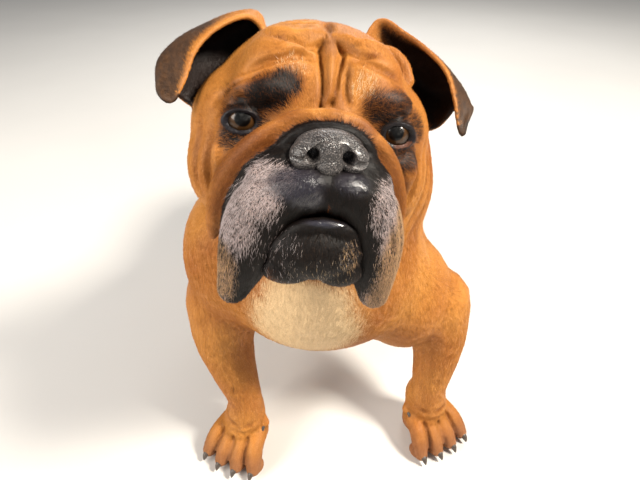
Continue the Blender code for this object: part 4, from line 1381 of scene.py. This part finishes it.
def choose_places(skin_points, normals, faces, share, rng):
    """The triangle under each tuft, the coat piece that it belongs to, and the tufts' sizes by triangle."""
    corners = skin_points[faces]
    a, b, c = corners.transpose(1, 0, 2)
    areas = np.linalg.norm(np.cross(b - a, c - a), axis=1) / 2
    open_skin = ~bare_places(corners.mean(axis=1), normals[faces].mean(axis=1))
    region = coat_regions(skin_points)
    sizes = np.array([COAT_PIECES[name] for name in region])
    sizes = np.column_stack([smoothed(column, skin_points, faces, 60) for column in sizes.T])
    sizes = sizes[faces].mean(axis=1)
    chance = np.cumsum(areas * sizes[:, 0] * open_skin)
    chosen = np.searchsorted(chance / chance[-1], rng.random(int(TUFTS * share))).clip(0, len(faces) - 1)
    return chosen, region[faces[chosen, 0]], sizes


def tuft_markings(roots, rng):
    """The skin's shares at the roots, where each tuft takes one colour or the other by chance."""
    marks = markings(roots)
    for key, softness in (("grey", 0.12), ("dark", 0.3), ("cream", 0.3)):
        draw = rng.random(len(roots))
        marks[key] = ramp(marks[key] * (1 + 2 * softness) - softness - draw, -softness, softness)
    marks["cream"] = np.maximum(marks["cream"], marks["gold"] * marks["grey"])
    marks["shade"] = marks["shade"] * 0.8
    tint = np.clip(rng.normal(0.5, 0.16, len(roots)), 0, 1)
    return {key: np.repeat(value, 4) for key, value in marks.items()}, np.repeat(tint, 4)


def make_coat(skin, density, length_share, material):
    """Tufts in several pieces, over the whole skin but where it is bare."""
    rng = np.random.default_rng(11)
    points, faces, normals = vertex_array(skin), triangle_array(skin), vertex_array(skin, "normal")
    chosen, owner, sizes = choose_places(points, normals, faces, density, rng)
    tree = BVHTree.FromPolygons(points.tolist(), faces.tolist())
    rough = unwrapped_copy(skin)
    made = []
    for name in COAT_PIECES:
        own = chosen[owner == name][:MOST_IN_A_PIECE]
        roots, up = random_places(points, normals, faces, own, rng)
        _, length, width, lift, turn = sizes[own].T[:, :, None]
        ways = coat_lie(roots, up)
        ways = unit(ways + np.cross(up, ways) * rng.normal(0, 1, len(own))[:, None] * turn)
        grown = grow_tufts(roots, up, ways, length * length_share, width, lift, tree, rng)
        obj = triangle_mesh(name, *grown)
        write_tuft_map(obj.data, grown[1], map_places(roots, rough))
        write_markings(obj.data, *tuft_markings(roots, rng))
        obj.data.shade_smooth()
        outwards = unit(vertex_array(obj, "normal") * 0.5 + np.repeat(up, 4, axis=0))
        obj.data.normals_split_custom_set_from_vertices(outwards.tolist())
        obj.data.materials.append(material)
        made.append(obj)
    bpy.data.objects.remove(rough)
    return made


# Add-on


def share_setting(name, description):
    return bpy.props.FloatProperty(name=name, description=description, default=1.0)


def colour_setting(name, description, default):
    return bpy.props.FloatVectorProperty(
        name=name, description=description, default=default, subtype="COLOR"
    )


class BulldogSizes(bpy.types.PropertyGroup):
    """Sizes that a user would change."""

    skin_voxel: bpy.props.FloatProperty(
        name="Skin fineness",
        description="Size of the cells that fuse the skin",
        default=0.0015,
        unit="LENGTH",
    )
    skin_triangles: bpy.props.IntProperty(
        name="Skin triangles", description="Triangles kept in the skin", default=185000
    )
    coat_density: share_setting("Coat density", "Share of the tufts grown")
    coat_length: share_setting("Coat length", "Length of the tufts, as a share of the usual")
    claw_length: share_setting("Claw length", "Length of the claws, as a share of the usual")


class BulldogColours(bpy.types.PropertyGroup):
    """Colours that a user would change."""

    fawn: colour_setting("Fawn", "Main colour of the coat", (0.5, 0.203, 0.038))
    deep_fawn: colour_setting("Deep fawn", "Redder patches of the coat", (0.36, 0.12, 0.021))
    mask: colour_setting("Mask", "Black of the muzzle and round the eyes", (0.0065, 0.0042, 0.0033))
    grey_hairs: colour_setting("Grey hairs", "Pale hairs on the muzzle", (0.86, 0.84, 0.88))
    cream: colour_setting("Cream", "Chest, throat and belly", (0.76, 0.54, 0.3))
    bare_skin: colour_setting("Bare skin", "Thinly haired skin of the toes", (0.275, 0.122, 0.062))
    ear: colour_setting("Ear", "Back of the ear flaps", (0.048, 0.025, 0.014))
    iris: colour_setting("Iris", "Brown of the eyes", (0.045, 0.02, 0.006))
    nose: colour_setting("Nose", "Nose leather", (0.026, 0.023, 0.023))
    claw: colour_setting("Claw", "Horn of the claws", (0.03, 0.024, 0.02))


GREY_ON_SKIN = 0.65  # share of the pale hairs that the skin shows, under those of the tufts
FLESH_NODES = (
    "head", "lower_jaw", "neck", "torso", "tail", "ear_left", "ear_right",
    "foreleg_left", "foreleg_right", "forepaw_left", "forepaw_right",
    "thigh_left", "thigh_right", "hindleg_left", "hindleg_right", "hindpaw_left", "hindpaw_right",
)


class BULLDOG_OT_skin(bpy.types.Operator):
    """Lays up, fuses and folds the skin"""

    bl_idname = "object.bulldog_skin"
    bl_label = "Skin"

    def execute(self, context):
        sizes, colours = context.scene.bulldog_sizes, context.scene.bulldog_colours
        coat_colour_group(hair_grain_group())
        skin = make_skin(sizes.skin_voxel, sizes.skin_triangles)
        marks = markings(vertex_array(skin))
        marks["grey"] = marks["grey"] * GREY_ON_SKIN
        marks["cream"] = np.maximum(marks["cream"], marks["gold"] * marks["grey"])
        write_markings(skin.data, marks, np.full(len(skin.data.vertices), 0.5))
        material = coat_material("Skin", colours, raggedness=1.0, roughness=0.55, bump=0.0003)
        skin.data.materials.append(material)
        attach(skin, "root")
        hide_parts(*FLESH_NODES)
        return {"FINISHED"}


PUPIL_BLACK = (0.0015, 0.0015, 0.0015, 1)
IRIS_RIM = (0.006, 0.004, 0.003, 1)
EYE_WHITES = ((0.03, 0.015, 0.01, 1), (0.07, 0.035, 0.025, 1))
PUPIL_RADIUS = 0.0050
IRIS_RADIUS = 0.0090
WHITE_RADIUS = 0.0104  # where the rim of the iris gives way to the white


def eye_material(name, centre, gaze, iris):
    """Brown iris and black pupil on the gaze axis, in a dark eyeball with a wet coat."""
    material, nodes, surface = new_material(
        name, Roughness=0.3, Specular_IOR_Level=0.15, Coat_Weight=0.4, Coat_Roughness=0.015
    )

    def iris_shade(share):
        return (*[min(1, part * share) for part in iris], 1)

    place = nodes.object_place()
    turn = Vector((0, 0, 1)).rotation_difference(gaze).to_euler()
    mapping = nodes.add("Mapping", Vector=place, Location=centre, Rotation=turn)
    mapping.vector_type = "TEXTURE"
    local = nodes.add("SeparateXYZ", Vector=mapping.outputs[0]).outputs
    squares = [nodes.maths("POWER", local[axis], 2) for axis in "XY"]
    radius = nodes.maths("SQRT", nodes.plus(*squares))
    angle = nodes.maths("ARCTAN2", local["Y"], local["X"])
    spokes = nodes.add("CombineXYZ", X=nodes.times(angle, 7.0), Y=nodes.times(radius, 300.0))
    streak = nodes.noise(spokes.outputs[0], 2.2, 3.0)
    ring = nodes.span(radius, 0.0040, IRIS_RADIUS)
    colour = nodes.mix(streak, iris_shade(0.45), iris_shade(1.9))
    colour = nodes.mix(nodes.span(ring, 0.55, 1.0), colour, iris_shade(0.25))
    colour = nodes.mix(nodes.span(radius, PUPIL_RADIUS, 0.0057), PUPIL_BLACK, colour)
    colour = nodes.mix(nodes.span(radius, IRIS_RADIUS, 0.0097), colour, IRIS_RIM)
    white = nodes.mix(nodes.noise(place, 900.0), *EYE_WHITES)
    colour = nodes.mix(nodes.span(radius, WHITE_RADIUS, 0.0115), colour, white)
    nodes.feed(surface, "Base Color", colour)
    nodes.relief(surface, streak, 0.00015)
    return material


CAMERA_PLACE = Vector((-0.0229, -0.310, 0.5587))
CAMERA_PITCH = 37.0  # degrees below level
CAMERA_LENS = 27.06  # mm, on a 36 mm wide sensor
AHEAD = (0.15, -1, 0.1)  # in the head's frame
GAZE_AT_VIEWER = 0.7  # the rest looks ahead
CORNEA_FROM = 0.78  # of the eyeball's radius, along the gaze
CORNEA_RISE = 0.055


class BULLDOG_OT_eyes(bpy.types.Operator):
    """Sets the eyeballs, with a bulging cornea, looking at the viewer"""

    bl_idname = "object.bulldog_eyes"
    bl_label = "Eyes"

    def execute(self, context):
        iris = context.scene.bulldog_colours.iris
        for name, side in (("eye_left", 1), ("eye_right", -1)):
            centre = HEAD @ Vector(eye_centre(side))
            gaze = (SHIFT @ CAMERA_PLACE - centre).normalized()
            ahead = (HEAD.to_3x3() @ Vector(AHEAD)).normalized()
            gaze = (gaze * GAZE_AT_VIEWER + ahead * (1 - GAZE_AT_VIEWER)).normalized()
            bpy.ops.object.select_all(action="DESELECT")
            bpy.ops.mesh.primitive_uv_sphere_add(segments=64, ring_count=40, radius=EYEBALL_RADIUS)
            eye = context.active_object
            eye.name = name + "_ball"
            points = vertex_array(eye)
            rise = np.clip((points[:, 2] / EYEBALL_RADIUS - CORNEA_FROM) / (1 - CORNEA_FROM), 0, 1)
            points *= (1 + CORNEA_RISE * rise * (2 - rise))[:, None]
            turn = Vector((0, 0, 1)).rotation_difference(gaze).to_matrix().to_4x4()
            points = placed(points, Matrix.Translation(centre) @ turn)
            move_vertices(eye, points)
            eye.data.shade_smooth()
            eye.data.materials.append(eye_material(name + " surface", centre, gaze, iris))
            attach(eye, "root")
            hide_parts(name)
        return {"FINISHED"}


def nose_material(colour):
    """Pebbled black leather, moist in places."""
    material, nodes, surface = new_material("Nose leather", Coat_Weight=0.25, Coat_Roughness=0.18)
    place = nodes.object_place()
    cells = nodes.add("TexVoronoi", Vector=place, Scale=850.0)
    pebbles = nodes.span(cells.outputs["Distance"], 0.1, 0.75, 1.0, 0.0)
    # Paler specks: dry leather, lightened further as painted highlight on the pebbles
    speck = nodes.span(nodes.noise(place, 1500.0, 2.0), 0.52, 0.68)
    base = nodes.mix(nodes.times(speck, 0.6), (*colour, 1), (0.3, 0.26, 0.24, 1))
    nodes.feed(surface, "Base Color", base)
    nodes.feed(surface, "Roughness", nodes.span(nodes.noise(place, 90.0, 3.0), 0.35, 0.62, 0.22, 0.5))
    height = nodes.plus(pebbles, nodes.times(nodes.noise(place, 300.0), 0.6))
    nodes.relief(surface, height, 0.0004, 0.8)
    return material


class BULLDOG_OT_nose(bpy.types.Operator):
    """Models the nose leather and cuts the nostrils"""

    bl_idname = "object.bulldog_nose"
    bl_label = "Nose"

    def execute(self, context):
        clay = Clay(HEAD)
        clay.balls(NOSE_MASSES, fineness=4)
        clay.pair(*NOSE_WING)
        nose = clay.fused("nose_leather", *FINENESS["nose"])
        hollow = Clay(HEAD)
        hollow.roll_pair(*NOSTRIL)
        hollow.roll_pair(*NOSTRIL_SLIT)
        hollow.roll(*NOSE_GROOVE)
        nostrils = hollow.fused("nostrils", *FINENESS["nostrils"])
        cut = nose.modifiers.new("Nostrils", "BOOLEAN")
        cut.operation = "DIFFERENCE"
        cut.object = nostrils
        apply_modifiers(nose)
        bpy.data.objects.remove(nostrils)
        soften = nose.modifiers.new("Soften", "SMOOTH")
        soften.iterations = 2
        apply_modifiers(nose)
        nose.data.shade_smooth()
        nose.data.materials.append(nose_material(context.scene.bulldog_colours.nose))
        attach(nose, "root")
        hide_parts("nose")
        return {"FINISHED"}


def claw_material(colour):
    """Dark horn with paler streaks."""
    material, nodes, surface = new_material("Horn")
    streak = nodes.noise(nodes.stretched(nodes.object_place(), (2200, 500, 900)), 1.0, 3.0)
    colour = nodes.mix(nodes.span(streak, 0.35, 0.7), (*colour, 1), (0.1, 0.075, 0.06, 1))
    nodes.feed(surface, "Base Color", colour)
    nodes.feed(surface, "Roughness", nodes.span(streak, 0.3, 0.7, 0.28, 0.45))
    nodes.relief(surface, streak, 0.0002)
    return material


class BULLDOG_OT_claws(bpy.types.Operator):
    """Models one curved claw for each toe"""

    bl_idname = "object.bulldog_claws"
    bl_label = "Claws"

    def execute(self, context):
        share = context.scene.bulldog_sizes.claw_length
        material = claw_material(context.scene.bulldog_colours.claw)
        names = ("forepaw_right", "forepaw_left", "hindpaw_right", "hindpaw_left")
        for name, where, dew in zip(names, PAWS, (1, -1, 0, 0)):
            clay = Clay(where)
            for place in TOES:
                x, y, _ = toe_points(place)[-1]
                line = [(x + dx * place, y + dy * share, z) for dx, dy, z in CLAW_PATH]
                clay.roll(line, CLAW_RADII)
            if dew:
                x, y, z = DEWCLAW
                line = [(dew * (x + dx), y + dy, z + dz) for dx, dy, dz in DEWCLAW_PATH]
                clay.roll(line, DEWCLAW_RADII)
            claws = clay.fused("claws_" + name, *FINENESS["claws"])
            claws.data.shade_smooth()
            claws.data.materials.append(material)
            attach(claws, "root")
        return {"FINISHED"}


class BULLDOG_OT_coat(bpy.types.Operator):
    """Grows the short tufts over the skin"""

    bl_idname = "object.bulldog_coat"
    bl_label = "Coat"

    def execute(self, context):
        sizes, colours = context.scene.bulldog_sizes, context.scene.bulldog_colours
        material = coat_material("Hair", colours, raggedness=0.35, roughness=0.5, bump=0.0001)
        for tufts in make_coat(bpy.data.objects["skin"], sizes.coat_density, sizes.coat_length, material):
            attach(tufts, "root")
        return {"FINISHED"}


def floor_material():
    material, nodes, surface = new_material("Pale floor", Roughness=0.8)
    tone = nodes.noise(nodes.object_place(), 3.0, 2.0)
    nodes.feed(surface, "Base Color", nodes.mix(tone, (0.62, 0.61, 0.59, 1), (0.68, 0.67, 0.65, 1)))
    return material


# Name, place, target, width in metres, power in watts and colour
LIGHTS = (
    ("key", (1.3, -0.6, 1.8), (0, 0, 0.3), 0.45, 88, (1.0, 0.93, 0.82)),
    ("fill", (-1.6, -1.0, 1.3), (0, 0, 0.3), 1.1, 50, (1.0, 0.94, 0.86)),
    ("back", (0.3, 1.9, 1.6), (0, 0.1, 0.3), 1.2, 26, (1.0, 0.98, 0.95)),
)
WORLD_COLOUR = (0.94, 0.96, 1.0, 1)
WORLD_STRENGTH = 0.24


def add_light(name, place, target, size, power, colour):
    light = bpy.data.lights.new(name, "AREA")
    light.energy = power
    light.size = size
    light.color = colour
    obj = linked_object(name, light)
    obj.location = place
    obj.rotation_euler = (Vector(target) - Vector(place)).to_track_quat("-Z", "Y").to_euler()


class BULLDOG_OT_stage(bpy.types.Operator):
    """Adds the floor, the soft lights and the camera"""

    bl_idname = "object.bulldog_stage"
    bl_label = "Stage"

    def execute(self, context):
        scene = context.scene
        bpy.ops.object.select_all(action="DESELECT")
        bpy.ops.mesh.primitive_plane_add(size=12)
        floor = context.active_object
        floor.name = "floor"
        floor.data.materials.append(floor_material())
        for light in LIGHTS:
            add_light(*light)
        world = bpy.data.worlds.new("studio")
        world.use_nodes = True
        sky = world.node_tree.nodes["Background"]
        sky.inputs["Color"].default_value = WORLD_COLOUR
        sky.inputs["Strength"].default_value = WORLD_STRENGTH
        scene.world = world
        camera = linked_object("camera", bpy.data.cameras.new("camera"))
        camera.data.lens = CAMERA_LENS
        camera.data.sensor_width = 36
        camera.data.clip_start = 0.02
        camera.location = SHIFT @ CAMERA_PLACE
        camera.rotation_euler = (math.radians(90 - CAMERA_PITCH), 0, 0)
        scene.camera = camera
        scene.view_settings.view_transform = "Standard"
        return {"FINISHED"}


class BULLDOG_PT_panel(bpy.types.Panel):
    """Lists the pieces of the bulldog"""

    bl_idname = "BULLDOG_PT_panel"
    bl_label = "English bulldog"
    bl_space_type = "VIEW_3D"
    bl_region_type = "UI"
    bl_category = "Bulldog"

    def draw(self, context):
        for settings in (context.scene.bulldog_sizes, context.scene.bulldog_colours):
            for name in settings.__annotations__:
                self.layout.prop(settings, name)
        for step in STEPS:
            self.layout.operator(step.bl_idname)


STEPS = (
    BULLDOG_OT_skin,
    BULLDOG_OT_eyes,
    BULLDOG_OT_nose,
    BULLDOG_OT_claws,
    BULLDOG_OT_coat,
    BULLDOG_OT_stage,
)
CLASSES = (BulldogSizes, BulldogColours, *STEPS, BULLDOG_PT_panel)


def register():
    for cls in CLASSES:
        bpy.utils.register_class(cls)
    bpy.types.Scene.bulldog_sizes = bpy.props.PointerProperty(type=BulldogSizes)
    bpy.types.Scene.bulldog_colours = bpy.props.PointerProperty(type=BulldogColours)


def unregister():
    del bpy.types.Scene.bulldog_sizes
    del bpy.types.Scene.bulldog_colours
    for cls in reversed(CLASSES):
        bpy.utils.unregister_class(cls)


def main():
    register()
    bpy.ops.object.bulldog_skin()
    bpy.ops.object.bulldog_eyes()
    bpy.ops.object.bulldog_nose()
    bpy.ops.object.bulldog_claws()
    bpy.ops.object.bulldog_coat()
    bpy.ops.object.bulldog_stage()


if __name__ == "__main__":
    main()
